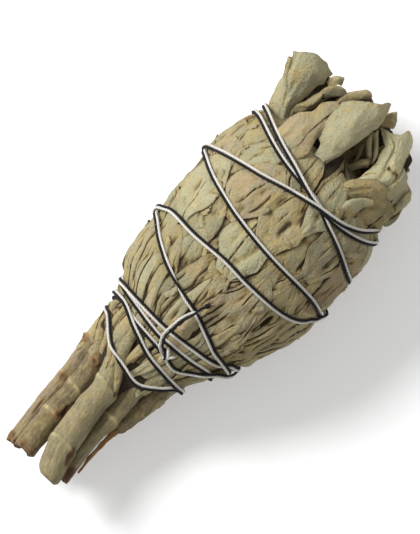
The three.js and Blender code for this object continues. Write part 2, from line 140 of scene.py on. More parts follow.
def along_rows(rows, key):
    """A smooth curve through rows of numbers, whose first column is the key."""
    rows = np.asarray(rows, float)
    key = np.asarray(key, float)
    last = len(rows) - 1
    i = np.searchsorted(rows[1:last, 0], key, side="left")
    p, q = rows[i], rows[i + 1]
    before, after = rows[np.maximum(i - 1, 0)], rows[np.minimum(i + 2, last)]
    span = q[..., :1] - p[..., :1]
    t = np.clip((key[..., None] - p[..., :1]) / span, 0, 1)
    slope_in = (q - before) / (q[..., :1] - before[..., :1]) * span
    slope_out = (after - p) / (after[..., :1] - p[..., :1]) * span
    t2, t3 = t * t, t**3
    ends = p * (2 * t3 - 3 * t2 + 1) + slope_in * (t3 - 2 * t2 + t) + q * (3 * t2 - 2 * t3)
    return (ends + slope_out * (t3 - t2))[..., 1:]


def blended(grid, i, j, next_i, next_j, s, t):
    """A grid's value between four of its cells."""
    low = grid[i, j] * (1 - s) + grid[next_i, j] * s
    high = grid[i, next_j] * (1 - s) + grid[next_i, next_j] * s
    return low * (1 - t) + high * t


class Noise:
    """Smooth random values from -1 to 1 over a plane, the same on each run."""

    def __init__(self, seed, size=64):
        self.size = size
        self.grid = np.random.default_rng(seed).uniform(-1, 1, (size, size))

    def __call__(self, u, v):
        u, v = np.broadcast_arrays(np.asarray(u, float), np.asarray(v, float))
        i, j = np.floor(u).astype(int), np.floor(v).astype(int)
        wrapped = [index % self.size for index in (i, j, i + 1, j + 1)]
        return blended(self.grid, *wrapped, smooth_step(u - i), smooth_step(v - j))

    def layered(self, u, v):
        """Noise with two layers of finer, weaker noise on it."""
        return sum(self(u * 2**k + 7 * k, v * 2**k + 3 * k) / 2**k for k in range(3)) / 1.75


# The bunch's own surface
def bunch_point(x, angle, height):
    """The point at x and angle on the outline, moved out by height. Angle 0 is up, 90 degrees is +Y."""
    at = along_rows(OUTLINE, x)
    across, up = at[..., 0] + height, at[..., 1] + height
    return stacked(x, at[..., 2] + across * np.sin(angle), at[..., 3] + up * np.cos(angle))


def bunch_radius(x):
    at = along_rows(OUTLINE, x)
    return (at[..., 0] + at[..., 1]) / 2


def bunch_place(points):
    """The x, angle and height over the outline of points."""
    at = along_rows(OUTLINE, points[..., 0])
    across, up = points[..., 1] - at[..., 2], points[..., 2] - at[..., 3]
    share = np.hypot(across / at[..., 0], up / at[..., 1])
    height = (share - 1) * (at[..., 0] + at[..., 1]) / 2
    angle = np.arctan2(across / (at[..., 0] + height), up / (at[..., 1] + height))
    return points[..., 0], angle, height


# The string: a white and a black thread side by side, wound from the knot and back to it.
# x, angle in degrees; each full turn adds 360.
WINDING = [
    [-20.3, -12], [-19.3, 31], [-17.9, 60], [-21.5, 180],
    [-24.9, 293], [-27.7, 312], [-30.6, 336], [-29.8, 361], [-27.8, 390], [-22.5, 430], [-23.5, 540],
    [-24.4, 655], [-24.1, 688], [-23.3, 714], [-20.9, 741], [-17.8, 775], [-18.2, 900],
    [-16.4, 1018], [-17.3, 1045], [-17.7, 1067], [-17.8, 1086], [-15.7, 1135], [-10.5, 1255],
    [-10.9, 1370], [-13.3, 1386], [-14.6, 1415], [-15.4, 1442], [-15.3, 1466], [-14.8, 1502], [-14.8, 1620],
    [-11.8, 1755], [-9.8, 1776], [-7.7, 1793], [-6.4, 1809], [-3.6, 1832], [-1.3, 1846], [2.8, 1873],
    [9, 1980], [13.3, 2078], [14.7, 2108], [15.3, 2148], [16.9, 2177], [19.4, 2203], [22.8, 2239], [24, 2340],
    [25.1, 2446], [30.4, 2492], [33.1, 2509], [34.8, 2538], [39, 2590], [37, 2700],
    [36.4, 2790], [32.6, 2845], [32.8, 2869], [36.5, 2898], [41.4, 2950], [41.4, 3060],
    [38.8, 3161], [33.7, 3207], [32.4, 3227], [30.4, 3248], [28.3, 3267], [24.8, 3318], [19.5, 3420],
    [13.6, 3518], [9.5, 3533], [7.1, 3555], [6.5, 3585], [6.9, 3606], [6.4, 3630], [6.4, 3667], [-4, 3780],
    [-13.8, 3884], [-20.1, 3912], [-21.5, 3925], [-20.6, 3943],
]
# The loose ends past the knot: x, angle in degrees, height over the outline
TAIL = [[-19.6, 3954, 2.2], [-16.8, 3960, 3.4], [-12.5, 3959, 3.2], [-8, 3955.5, 2.1], [-4.2, 3952, 0.9]]
SIDE_SWAPS = [380, 470, 1250, 1817, 3452]  # where the threads change sides, in degrees of the winding
SWAP_SPAN = 44  # degrees that one change takes
FINE_STEP = 3  # degrees of winding between points
OWN_TURN = 120  # degrees of winding next to a place, which don't cross it
TAIL_FLIP = 0.62  # share of the tail after which its two threads change sides
LOWEST_THREAD_Z = SURFACE_Z + THREAD_RADIUS + 0.05


def kept_above(z, lowest, softness):
    """Heights kept over the lowest one, bending softly where they come near it."""
    over = z - lowest
    return lowest + (over + np.hypot(over, softness)) / 2


def winding_points():
    """The pair's points, the directions out of the bunch, and how far the pair is turned over."""
    by_angle = [[angle, x] for x, angle in WINDING]
    angles = np.arange(WINDING[0][1], WINDING[-1][1] + 1, FINE_STEP)
    xs = along_rows(by_angle, angles)[:, 0]
    at = bunch_point(xs, np.radians(angles), THREAD_HEIGHT)
    rise = np.zeros(len(at))
    skip = round(OWN_TURN / FINE_STEP)
    for i in range(skip + 1, len(at)):
        apart = np.linalg.norm(at[: i - skip] - at[i], axis=1)
        share = smooth_step((CROSS_FAR - apart) / (CROSS_FAR - CROSS_NEAR))
        rise[i] = np.max((rise[: i - skip] + LAYER) * share)
    steps = np.arange(0, len(TAIL) - 0.9, 0.25)
    tail = along_rows([[i, *place] for i, place in enumerate(TAIL)], steps)
    heights = np.concatenate([THREAD_HEIGHT + rise, tail[:, 2] + LAYER])
    xs, angles = np.concatenate([xs, tail[:, 0]]), np.concatenate([angles, tail[:, 1]])
    at = bunch_point(xs, np.radians(angles), heights)
    at[:, 2] = kept_above(at[:, 2], LOWEST_THREAD_Z, 0.4)
    swaps = sum(smooth_step((angles - place) / SWAP_SPAN + 0.5) for place in SIDE_SWAPS)
    swaps[-len(steps) :] += smooth_step((steps / steps[-1] - TAIL_FLIP) / 0.34)
    return at, outward(np.radians(angles)), np.pi * swaps


def thread_line(at, out, turn, side):
    """One thread's own centreline: side is 1 for the white thread and -1 for the black one."""
    along = unit(np.gradient(at, axis=0))
    across = unit(np.cross(along, out))
    before = np.array([1.0, 0, 0])
    for i in range(len(across)):
        if across[i] @ before < 0:
            across[i] *= -1
        before = across[i]
    lifted = side * np.sin(turn) + np.abs(np.sin(turn))
    own = at + PAIR_OFFSET * (side * np.cos(turn)[:, None] * across + lifted[:, None] * out)
    own[:, 2] = np.maximum(own[:, 2], LOWEST_THREAD_Z)
    return own


def evenly_along(points, step):
    """The same path at even steps."""
    lengths = np.concatenate([[0], np.cumsum(np.linalg.norm(np.diff(points, axis=0), axis=1))])
    places = np.linspace(0, lengths[-1], round(lengths[-1] / step) + 1)
    return along_rows(np.column_stack([lengths, points]), places)


# The grid of heights over the outline, that the leaves are laid on
GRID_X = np.arange(-37, 54, 0.3)
GRID_TURNS = 512
GRID_ANGLE = np.arange(GRID_TURNS) * 2 * np.pi / GRID_TURNS
GRID_PLACES = grid_of(GRID_X, GRID_ANGLE)
CELL = GRID_X[1] - GRID_X[0]
STRING_REACH = 9  # cells on each side of the string that it holds down
HIGHEST = 1.15  # the most that a tied leaf bulges over the outline
SOFTENING = 0.5  # below the ceiling, from where on a leaf is pressed in


def sampled(grid, x, angle):
    """A grid's value at x and angle."""
    u = np.clip((x - GRID_X[0]) / CELL, 0, len(GRID_X) - 1.001)
    v = (angle / (2 * np.pi) * GRID_TURNS) % GRID_TURNS
    i, j = np.floor(u).astype(int), np.floor(v).astype(int)
    return blended(grid, i, j % GRID_TURNS, i + 1, (j + 1) % GRID_TURNS, u - i, v - j)


def shifted(grid, i, j):
    """The grid moved by i rows, with its edge rows repeated, and by j columns round the bunch."""
    rows = np.clip(np.arange(grid.shape[0]) - i, 0, grid.shape[0] - 1)
    return np.roll(grid[rows], j, axis=1)


def blurred(grid, radius, times):
    for _ in range(times):
        for axis in (0, 1):
            steps = range(-radius, radius + 1)
            moved = [shifted(grid, k, 0) if axis == 0 else shifted(grid, 0, k) for k in steps]
            grid = sum(moved) / len(moved)
    return grid


def ceiling_grid(lines):
    """How high a tied leaf may stand at each place: lower under the string and over the surface."""
    x, angle = GRID_PLACES
    at = along_rows(OUTLINE, x)
    down = np.maximum(-np.cos(angle), 1e-6)
    over_surface = (at[..., 3] - SURFACE_Z - 0.03) / down - at[..., 1]
    ceiling = np.minimum(HIGHEST, over_surface)
    near = np.arange(-STRING_REACH, STRING_REACH + 1)
    for line in lines:
        places, angles, heights = bunch_place(evenly_along(line, 0.35))
        rows = np.round((places - GRID_X[0]) / CELL).astype(int)
        turns = np.round(angles / (2 * np.pi) * GRID_TURNS).astype(int)
        radii = bunch_radius(places)
        for i, j, place, own_angle, height, radius in zip(rows, turns, places, angles, heights, radii):
            if not STRING_REACH < i < len(GRID_X) - STRING_REACH:
                continue
            turn = ((j + near) * 2 * np.pi / GRID_TURNS - own_angle) * radius
            apart = np.hypot(GRID_X[i + near][:, None] - place, turn[None, :])
            low = height - THREAD_RADIUS - 0.02 + 1.2 * np.maximum(0, apart - 0.4) ** 1.25
            window = np.ix_(i + near, (j + near) % GRID_TURNS)
            ceiling[window] = np.minimum(ceiling[window], low)
    return ceiling


def limited(height, ceiling):
    """The height pressed in under the ceiling, softly, so that layers keep their order."""
    over = np.maximum(height - (ceiling - SOFTENING), 0)
    return np.where(over > 0, ceiling - SOFTENING * np.exp(-over / SOFTENING), height)


class Mesh:
    """Collects closed grids of points, in millimetres, with values at each point."""

    def __init__(self):
        self.points, self.faces, self.values, self.count = [], [], [], 0

    def add(self, points, faces, values):
        """values: tint (3), place (3), cavity, edge for each point."""
        self.points.append(points.reshape(-1, 3))
        self.values.append(values.reshape(len(self.points[-1]), -1))
        self.faces += [np.asarray(f) + self.count for f in faces]
        self.count += len(self.points[-1])

    def shell(self, top, bottom, values):
        """A closed thin solid between two grids of points."""
        rows, columns = top.shape[:2]
        count = rows * columns
        at = np.arange(count).reshape(rows, columns)
        quads = stacked(at[:-1, :-1], at[1:, :-1], at[1:, 1:], at[:-1, 1:]).reshape(-1, 4)
        lower = np.roll(quads[:, ::-1], 1, axis=1) + count
        rim = np.concatenate([at[0, :-1], at[:-1, -1], at[-1, :0:-1], at[:0:-1, 0]])
        beside = np.roll(rim, -1)
        sides = stacked(rim, beside, beside + count, rim + count)
        points = np.concatenate([top.reshape(-1, 3), bottom.reshape(-1, 3)])
        self.add(points, [quads, lower, sides], np.concatenate([values.reshape(count, -1)] * 2))

    def loft(self, rings, values):
        """A closed tube through rings of points, with a fan at each end."""
        count, sides = rings.shape[:2]
        at = np.arange(count * sides).reshape(count, sides)
        after = np.roll(at, -1, axis=1)
        middle = rings[0].mean(axis=0)
        normal = np.cross(rings[0, 1] - rings[0, 0], rings[1, 0] - rings[0, 0])
        if normal @ (rings[0, 0] - middle) < 0:  # the rings run the other way round
            at, after = at[:, ::-1], np.roll(at[:, ::-1], -1, axis=1)
        quads = stacked(at[:-1], after[:-1], after[1:], at[1:]).reshape(-1, 4)
        start, end = stacked(after[0], at[0], count * sides), stacked(at[-1], after[-1], count * sides + 1)
        points, values = [
            np.concatenate([grid.reshape(count * sides, -1), [grid[0].mean(axis=0), grid[-1].mean(axis=0)]])
            for grid in (rings, values)
        ]
        self.add(points, [quads, start, end], values)

    def make(self, name, material):
        """The Blender object, riding on the root body."""
        points, values = np.concatenate(self.points), np.concatenate(self.values)
        mesh = bpy.data.meshes.new(name)
        mesh.vertices.add(len(points))
        mesh.vertices.foreach_set("co", row(points).astype(np.float32).ravel())
        corners = np.concatenate([f.ravel() for f in self.faces]).astype(np.int32)
        sizes = np.concatenate([np.full(len(f), f.shape[1]) for f in self.faces])
        starts = np.concatenate([[0], np.cumsum(sizes)[:-1]]).astype(np.int32)
        mesh.loops.add(len(corners))
        mesh.loops.foreach_set("vertex_index", corners)
        mesh.polygons.add(len(starts))
        mesh.polygons.foreach_set("loop_start", starts)
        mesh.update(calc_edges=True)
        mesh.validate()
        mesh.polygons.foreach_set("use_smooth", np.ones(len(mesh.polygons), bool))
        mesh.set_sharp_from_angle(angle=SHARP_ANGLE)
        for title, first in (("tint", 0), ("place", 3)):
            layer = mesh.attributes.new(title, "FLOAT_VECTOR", "POINT")
            layer.data.foreach_set("vector", values[:, first : first + 3].astype(np.float32).ravel())
        for title, column in (("cavity", 6), ("edge", 7)):
            layer = mesh.attributes.new(title, "FLOAT", "POINT")
            layer.data.foreach_set("value", values[:, column].astype(np.float32))
        mesh.materials.append(material)
        made = bpy.data.objects.new(name, mesh)
        bpy.context.scene.collection.objects.link(made)
        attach(made, "root")
        return made


def values_at(shape, tint, place, cavity, edge):
    """The eight values at each point of a grid of that shape."""
    made = np.zeros((*shape, 8))
    made[..., 0:3], made[..., 3:6], made[..., 6], made[..., 7] = tint, place, cavity, edge
    return made


# Leaves pressed on the bunch, and the deep holes between them: x, angle, half length, half width, depth
PITS = [[3.2, -44, 1.5, 0.7, 2.4], [-2.5, -52, 1.2, 0.45, 1.6]]


def leaf_share(u, base):
    """Half width of a pressed leaf along its length, as a share of its widest."""
    start = base + (1 - base) * smooth_step(u / 0.38)
    tip = np.clip(1 - (np.maximum(u - 0.5, 0) / 0.5) ** 2.2, 0.004, 1) ** 0.75
    return start * tip


def thinned(u, v, leaf):
    """A leaf's thickness: thin at its sides, and at its tip unless that is curled up."""
    if leaf["curled"]:
        tip = 1 + 0.5 * smooth_step((u - 0.8) / 0.2)
    else:
        tip = 0.08 + 0.92 * smooth_step((1 - u) / 0.5)
    return leaf["thickness"] * tip * (0.15 + 0.85 * smooth_step(u / 0.1)) * (1 - 0.4 * np.abs(v) ** 6)


def ragged_share(u, a, across, leaf):
    """Half width of a pressed leaf with its ragged sides, as a share of its widest."""
    ragged = Noise(leaf["seed"], 32)
    return leaf_share(u, leaf["base"]) * (1 + 0.12 * ragged.layered(a / 4, np.sign(across)))


class PressedLeaves:
    """Leaves laid one over another on the bunch, each draped over those under it."""

    def __init__(self, lowest):
        self.height = lowest.copy()
        self.laid = []
        self.grid_x, self.grid_angle = GRID_PLACES
        self.grid_radius = bunch_radius(self.grid_x)

    def lay(self, leaf, relief):
        """leaf: x, angle, slant, bend, length, width, base, thickness; relief(x, a, u, v)."""
        cos, sin = math.cos(leaf["slant"]), math.sin(leaf["slant"])
        half, length, bend = leaf["width"] / 2, leaf["length"], leaf["bend"]
        arc = short_turn(self.grid_angle - leaf["angle"]) * self.grid_radius
        run = self.grid_x - leaf["x"]
        a, b = run * cos + arc * sin, -run * sin + arc * cos
        u = a / length
        across = b - bend * u * u
        v = across / (half * ragged_share(np.clip(u, 0, 1), a, across, leaf))
        inside = (u > 0) & (u < 1) & (np.abs(v) < 1)

        widened = self.height
        for i, j in ((1, 0), (-1, 0), (0, 1), (0, -1)):
            widened = np.maximum(widened, shifted(self.height, i, j))
        base = blurred(widened, 2, 1)

        rows, columns = math.ceil(length / leaf["step"]), math.ceil(2 * half / (leaf["step"] * 0.5))
        uu, vv = grid_of(np.linspace(0.002, 0.998, rows + 1), np.linspace(-1, 1, columns + 1))
        bb = vv * half * ragged_share(uu, uu * length, vv, leaf) + bend * uu * uu
        x = leaf["x"] + uu * length * cos - bb * sin
        angle = leaf["angle"] + (uu * length * sin + bb * cos) / bunch_radius(x)
        low = sampled(base, x, angle)
        top = low + thinned(uu, vv, leaf) + relief(x, uu * length, uu, vv)
        self.laid.append({**leaf, "at": (x, angle), "low": low, "top": top, "u": uu, "v": vv, "b": bb})

        u, v = np.clip(u, 0, 1), np.clip(v, -1, 1)
        new = base + thinned(u, v, leaf) + relief(self.grid_x, a, u, v)
        self.height = np.where(inside, np.maximum(self.height, new), self.height)

    def add_to(self, mesh, ceiling, first=0):
        """Builds the leaves laid since first, with painted shade where each point lies deep among its
        neighbours.
        """
        around = blurred(self.height, 4, 2)
        nearby = blurred(self.height, 1, 1)
        for number, leaf in enumerate(self.laid[first:], first):
            x, angle = leaf["at"]
            most = sampled(ceiling, x, angle)
            top, low = limited(leaf["top"], most), limited(leaf["low"], most)
            pit = np.zeros_like(x)
            for pit_x, pit_angle, pit_length, pit_width, pit_depth in PITS:
                turn = short_turn(angle - math.radians(pit_angle))
                apart = np.hypot((x - pit_x) / pit_length, turn * bunch_radius(x) / pit_width)
                pit = np.maximum(pit, pit_depth * smooth_step(1.6 - apart))
            top, low = np.maximum(top, low + 0.03) - pit, low - pit
            under_far, under_near = [sampled(grid, x, angle) - leaf["top"] for grid in (around, nearby)]
            depth = 0.65 * under_far + 0.5 * under_near
            # Painted shade: darker where a leaf lies below those around it, and in the pits.
            cavity = np.clip(np.maximum(depth / 0.4, pit / 1.2), 0, 1)
            at_side, at_tip = (np.abs(leaf["v"]) - 0.9) / 0.1, (leaf["u"] - 0.97) / 0.03
            edge = np.maximum(smooth_step(at_side), smooth_step(at_tip))
            place = stacked(leaf["u"] * leaf["length"], leaf["b"], number * 3.7)
            values = values_at(x.shape, leaf["tint"], place, cavity, edge)
            mesh.shell(bunch_point(x, angle, top), bunch_point(x, angle, low), values)


def near_line(places, spacing):
    """The number of the nearest of the even lines, and how far past it each place lies."""
    number = np.round(places / spacing)
    return number, places - number * spacing


def pleated(seed, half, depth, spacing, lift, cracked=-0.1, gathered_to=1):
    """The relief of a dried leaf: long wavy cracks, pleats where it is gathered, folds and crumples."""
    warp, fade, rough, patch = (Noise(seed + k) for k in range(4))

    def relief(x, a, u, v):
        gathered = smooth_step((gathered_to - x) / 18)  # the leaves are gathered towards the neck
        across = v * half
        wander = 1.5 * warp(a / 12, across / 9) + 0.45 * warp(a / 3.4 + 9, across / 4)
        number, apart = near_line(across + wander, spacing)
        shown = smooth_step(0.3 * gathered + cracked + 1.6 * fade(a / 8 + 5 * number, 1.7 * number))
        crack = np.exp(-((np.abs(apart) / 0.26) ** 1.3)) * shown
        raised = 0.4 * np.exp(-np.maximum(apart, 0) / 1.1) * (apart > 0) * shown
        number, apart = near_line(across + 0.7 * wander + 0.6, 1.55)
        shown = smooth_step(1.1 * gathered - 0.4 + 0.9 * fade(a / 6 - 4 * number, 1.3 * number + 9))
        pleat = np.exp(-((np.abs(apart) / 0.34) ** 1.4)) * shown
        fold = np.abs(patch(a / 9 + 3, (across + 0.5 * wander) / 3.6))
        small = rough.layered(a / 2.6, across / 1.6) + 0.4 * rough(a / 0.8, across / 0.7)
        near_tip = smooth_step((1 - u) / 0.25) * smooth_step(u / 0.08)
        folded = (0.3 + 0.2 * gathered) * fold + lift * np.abs(v) ** 5
        dents = -depth * np.maximum(crack, 0.8 * pleat)
        return (dents + raised + folded) * near_tip + CRUMPLE * small

    return relief


# Rows of pressed leaves, laid in this order: first x, leaves, length, width, base share, step
BODY_ROWS = [
    [21, 10, 24, 18, 0.9, 1.2],
    [2, 10, 30, 18, 0.9, 1.2],
    [-20, 9, 30, 17, 0.8, 1.2],
    [27, 9, 18, 15, 0.55, 0.55],
    [15, 9, 26, 16, 0.5, 0.55],
    [3, 9, 28, 16, 0.4, 0.55],
    [-8, 10, 30, 15, 0.33, 0.55],
    [-19, 11, 32, 14, 0.25, 0.5],
    [-27, 12, 35, 13, 0.2, 0.5],
]


def leaf_tint(random):
    """How warm, how pink and how light a leaf is, each about 0 to 1."""
    return [random.uniform(0.15, 1.0), 0.6 * random.beta(1.2, 3.2), random.uniform(0.25, 0.75)]


def lay_body_leaves(pressed):
    random = np.random.default_rng(41)
    for row_number, (start, count, length, width, base, step) in enumerate(BODY_ROWS):
        for k in random.permutation(count):
            turned = row_number in (4, 5) and random.random() < 0.25  # its tip points to the neck
            seed = int(random.integers(1 << 30))
            leaf = dict(
                seed=seed,
                x=start + random.uniform(-3, 3) + (length * 0.8 if turned else 0),
                angle=(k + 0.5 * (row_number % 2) + random.uniform(-0.25, 0.25)) * 2 * math.pi / count,
                slant=math.radians(random.normal(0, 7)) + (math.pi if turned else 0),
                bend=random.uniform(-2.4, 2.4),
                length=length * random.uniform(0.85, 1.12),
                width=width * random.uniform(0.75, 1.2),
                base=base,
                thickness=random.uniform(0.3, 0.45),
                step=step,
                tint=leaf_tint(random),
                curled=random.random() < 0.08,
            )
            depth, spacing = random.uniform(0.75, 1.1), random.uniform(2.6, 4.6)
            lift, to_right = random.uniform(-0.15, 0.2), max(0, -math.sin(leaf["angle"]))
            depth = depth * (1 + 0.4 * to_right)  # the leaves on the right are more crumpled
            relief = pleated(seed, leaf["width"] / 2, depth, spacing, lift, gathered_to=1 + 14 * to_right)
            pressed.lay(leaf, relief)


# Rows of leaf stalks and gathered leaf bases at the neck: first x, pieces, length, width
NECK_ROWS = [
    [-28, 19, 26, 3.4],
    [-30, 17, 20, 2.9],
]


def stalk_relief(seed, tall):
    rough = Noise(seed)

    def relief(x, a, u, v):
        rounded = np.sqrt(np.clip(1 - v * v, 0, 1))
        shown = smooth_step(0.5 + rough(a / 6, 0.3))
        groove = 0.35 * bell((v - 0.3 * rough(a / 9, 4)) / 0.16) * shown
        fibres = 0.12 * rough(a / 7, v * 4) + 0.08 * rough(a / 1.4, v * 3)
        return (tall * (rounded - groove) + fibres) * (0.15 + 0.85 * smooth_step((1 - u) / 0.3))

    return relief


def lay_neck(pressed):
    random = np.random.default_rng(43)
    for row_number, (start, count, length, width) in enumerate(NECK_ROWS):
        for k in random.permutation(count):
            leaf = dict(
                seed=int(random.integers(1 << 30)),
                x=start + random.uniform(-1.8, 1.8),
                angle=(k + 0.5 * (row_number % 2) + random.uniform(-0.3, 0.3)) * 2 * math.pi / count,
                slant=math.radians(random.normal(0, 5)),
                bend=random.uniform(-0.9, 0.9),
                length=length * random.uniform(0.75, 1.15),
                width=width * random.uniform(0.7, 1.2),
                base=random.uniform(0.7, 1.0),
                thickness=0.3,
                step=0.5,
                tint=[random.uniform(0.3, 1), 0.5 * random.beta(2, 2.2), random.uniform(0.3, 0.8)],
                curled=False,
            )
            pressed.lay(leaf, stalk_relief(leaf["seed"] + 1, random.uniform(0.3, 0.65)))


CORE_X = np.concatenate([np.arange(-37.5, 44, 1.2), [44, 45, 46]])
CORE_SIDES = 96


def core_height(x, angle):
    """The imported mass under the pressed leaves: lumpy, and low past the last tie."""
    lumps = Noise(5)
    around = angle / (2 * np.pi) * 16
    ends = 1.4 * np.maximum(x - 40.5, 0) + 0.25 * np.maximum(-24 - x, 0) + 0.5 * np.maximum(-30 - x, 0)
    sides = bell((x - 29) / 8) * np.where(np.sin(angle) < 0, 1.1, 0.6) * np.sin(angle) ** 2
    return -LEAF_DEPTH + 0.45 * lumps.layered(x / 9, around) + sides - ends


def packed_mass():
    x, angle = grid_of(CORE_X, full_turn(CORE_SIDES))
    rings = bunch_point(x, angle, core_height(x, angle))
    made = Mesh()
    # The core is painted in deep shade: most of the way to the dark colour, at the least lightness.
    made.loft(rings, values_at(x.shape, (0.5, 0.3, 0.0), stacked(x, angle * 20, 0), 0.9, 0))
    return made


# Free leaves of the crown
FOLD_WIDTH = 0.14  # as a share of the half width
FINE_PLACES = np.linspace(-1, 1, 401)
WAVES = 2.0  # along a leaf's borders


def section(v, curl, folds):
    """A leaf's cross-section: sideways and upward place of each v from -1 to 1, for a half width of 1."""
    slope = curl[:, None] * FINE_PLACES[None, :] / 2
    for place, turn in folds:
        side = 1 if place > 0 else -1
        past = side * smooth_step(side * (FINE_PLACES - place) / FOLD_WIDTH + 0.5)
        slope = slope + math.radians(turn) * past[None, :]
    step = FINE_PLACES[1] - FINE_PLACES[0]
    middle = len(FINE_PLACES) // 2
    nearest = np.clip(np.round((v + 1) / step).astype(int), 0, len(FINE_PLACES) - 1)
    runs = [np.cumsum(run, axis=1) * step for run in (np.cos(slope), np.sin(slope))]
    return [(run - run[:, middle : middle + 1])[:, nearest] for run in runs]


def blade(mesh, middle, t, v, place_a, place_b, seed, tint, shade, rib=0, thickness=0.42, wrinkle=0.24):
    """A closed thin leaf round its middle surface, with wrinkles, veins and a groove along its middle."""
    rough = Noise(seed)
    t, v = t[:, None], v[None, :]
    vein_run = place_a - 0.9 * np.abs(place_b)
    veins = np.abs(np.sin(np.pi * (vein_run / 2.6 + 0.4 * rough(place_a / 6, place_b / 3)))) ** 0.5 - 0.7
    groove = -rib * bell(place_b / 0.35) * (1 - 0.6 * t)
    crease = np.abs(rough(place_a / 6 + 11, place_b / 2.6 + 5))
    crack = np.exp(-crease / 0.05) * smooth_step(1.5 * rough(place_a / 5, place_b / 4 + 31) - 0.2)
    uneven = rough.layered(place_a / 1.9, place_b / 1.0) + 0.35 * veins + 1.2 * crease - 0.6 * crack
    small = wrinkle * uneven + groove
    taper = thickness * (1 - 0.5 * v**4)
    normal = normals_of(middle)
    top = middle + normal * (small + taper / 2)[..., None]
    bottom = middle + normal * (small * 0.8 - taper / 2)[..., None]
    bottom[..., 2] = kept_above(bottom[..., 2], SURFACE_Z + 0.1, 0.3)
    top[..., 2] = kept_above(top[..., 2], SURFACE_Z + 0.1 + thickness * 0.6, 0.3)
    # Painted shade: darker in the low places of the wrinkles, along the cracks, and by the shade given for
    # the whole leaf.
    cavity = np.clip(np.clip(-small / 0.3, 0, 0.7) * 0.6 + 0.6 * crack + shade, 0, 1)
    edge = np.maximum(smooth_step((np.abs(v) - 0.93) / 0.07), smooth_step((t - 0.98) / 0.02))
    place = stacked(place_a, place_b, seed * 1.37)
    mesh.shell(top, bottom, values_at(small.shape, tint, place, cavity, edge))


def path_length(points):
    return np.linalg.norm(np.diff(np.asarray(points, float), axis=0), axis=1).sum()


def even_steps(first, last, size, step, least):
    """Even places from first to last, a step apart over that size, with at least so many gaps."""
    return np.linspace(first, last, max(least, math.ceil(size / step)) + 1)


def free_leaf(mesh, spine, seed, tint, folds=(), ruffle=0.4, blunt=0.12, step=0.5, up=(0, 0, 1), shade=0.0,
              rib=0.25, thickness=0.42, wrinkle=0.22):
    """A dry curled leaf on a spine of rows: x, y, z, half width, roll and curl in degrees."""
    rows = [[i / (len(spine) - 1), *line] for i, line in enumerate(spine)]
    rough = Noise(seed)
    length = path_length([line[:3] for line in spine])
    widest = max(line[3] for line in spine)
    t = even_steps(0, 1, length, step, 8)
    v = even_steps(-1, 1, 2 * widest, step * 0.85, 6)
    at = along_rows(rows, t)
    centre, half = at[:, :3], np.maximum(at[:, 3], 0.15)
    roll, curl = np.radians(at[:, 4:5]), np.radians(at[:, 5])
    tip = np.sqrt(np.clip(1 - (np.maximum(t - 1 + blunt, 0) / blunt) ** 2, 0.01, 1))
    half = (half * tip * (1 + 0.05 * rough(t * length / 3, 0.5)))[:, None]
    along = unit(np.gradient(centre, axis=0))
    side = unit(np.cross(np.asarray(up, float), along))
    over = np.cross(along, side)
    turned = side * np.cos(roll) + over * np.sin(roll)
    over = -side * np.sin(roll) + over * np.cos(roll)
    aside, lift = section(v, curl, folds)
    place_a, place_b = grid_of(t * length, v)
    place_b = place_b * half
    swing = 2 * np.pi * WAVES * t[:, None] + 2.5 * rough(t[:, None] * 4, v[None, :] * 0.8) + seed
    wave = ruffle * np.abs(v[None, :]) ** 1.5 * np.sign(v)[None, :] * np.sin(swing)
    bumps = 0.55 * rough.layered(place_a / 5.5, place_b / 4.2) * min(1.0, widest / 4)
    lift = lift * half + wave + bumps
    middle = centre[:, None] + turned[:, None] * (aside * half)[..., None] + over[:, None] * lift[..., None]
    blade(mesh, middle, t, v, place_a, place_b, seed, tint, shade, rib, thickness, wrinkle)


def numbered(points):
    """Points with their numbers before them, as rows for along_rows."""
    return np.column_stack([np.arange(len(points)), points])


GUIDED_STEP = 0.45


def guided_leaf(mesh, guides, seed, tint, shade, crumple):
    """A dry leaf through lengthwise lines of points, from its one side to its other, base first."""
    rough = Noise(seed)
    lengths = [path_length(guide) for guide in guides]
    length = max(lengths)
    t = even_steps(0, 1, length, GUIDED_STEP, 8)
    lines = []
    for k, (guide, own) in enumerate(zip(guides, lengths)):
        tip = 1 - 0.02 - 0.03 * rough(2.3 * k, 7.7)  # the tip's border is uneven
        line = evenly_along(np.array(guide, float), own / 60)
        lines.append(along_rows(numbered(line), np.linspace(0, tip, len(t)) * (len(line) - 1)))
    lines = np.stack(lines, axis=1)
    width = np.linalg.norm(np.diff(lines, axis=1), axis=-1).sum(axis=1)
    v = even_steps(-1, 1, width.max(), GUIDED_STEP * 0.8, 6)
    across = np.linspace(-1, 1, len(guides))
    middle = np.stack([along_rows(np.column_stack([across, line]), v) for line in lines])
    place_a, place_b = grid_of(t * length, v)
    place_b = place_b * width[:, None] / 2
    wander = rough.layered(place_a / 2.2, np.sign(place_b) * 3 + 4) * np.abs(v)[None, :] ** 3
    centre = middle.mean(axis=1, keepdims=True)
    middle = centre + (middle - centre) * (1 + 0.09 * wander)[..., None]
    folds = 1.4 * np.abs(rough(place_a / 8 + 21, place_b / 3.2 + 7)) - 0.5
    folds = folds + rough.layered(place_a / 5, place_b / 3.4)
    height = crumple * min(1.0, width.max() / 7) * folds
    middle = middle + normals_of(middle) * height[..., None]
    blade(mesh, middle, t, v, place_a, place_b, seed, tint, shade)


GREY, KHAKI = (0.3, 0.1, 0.5), (0.7, 0.2, 0.5)
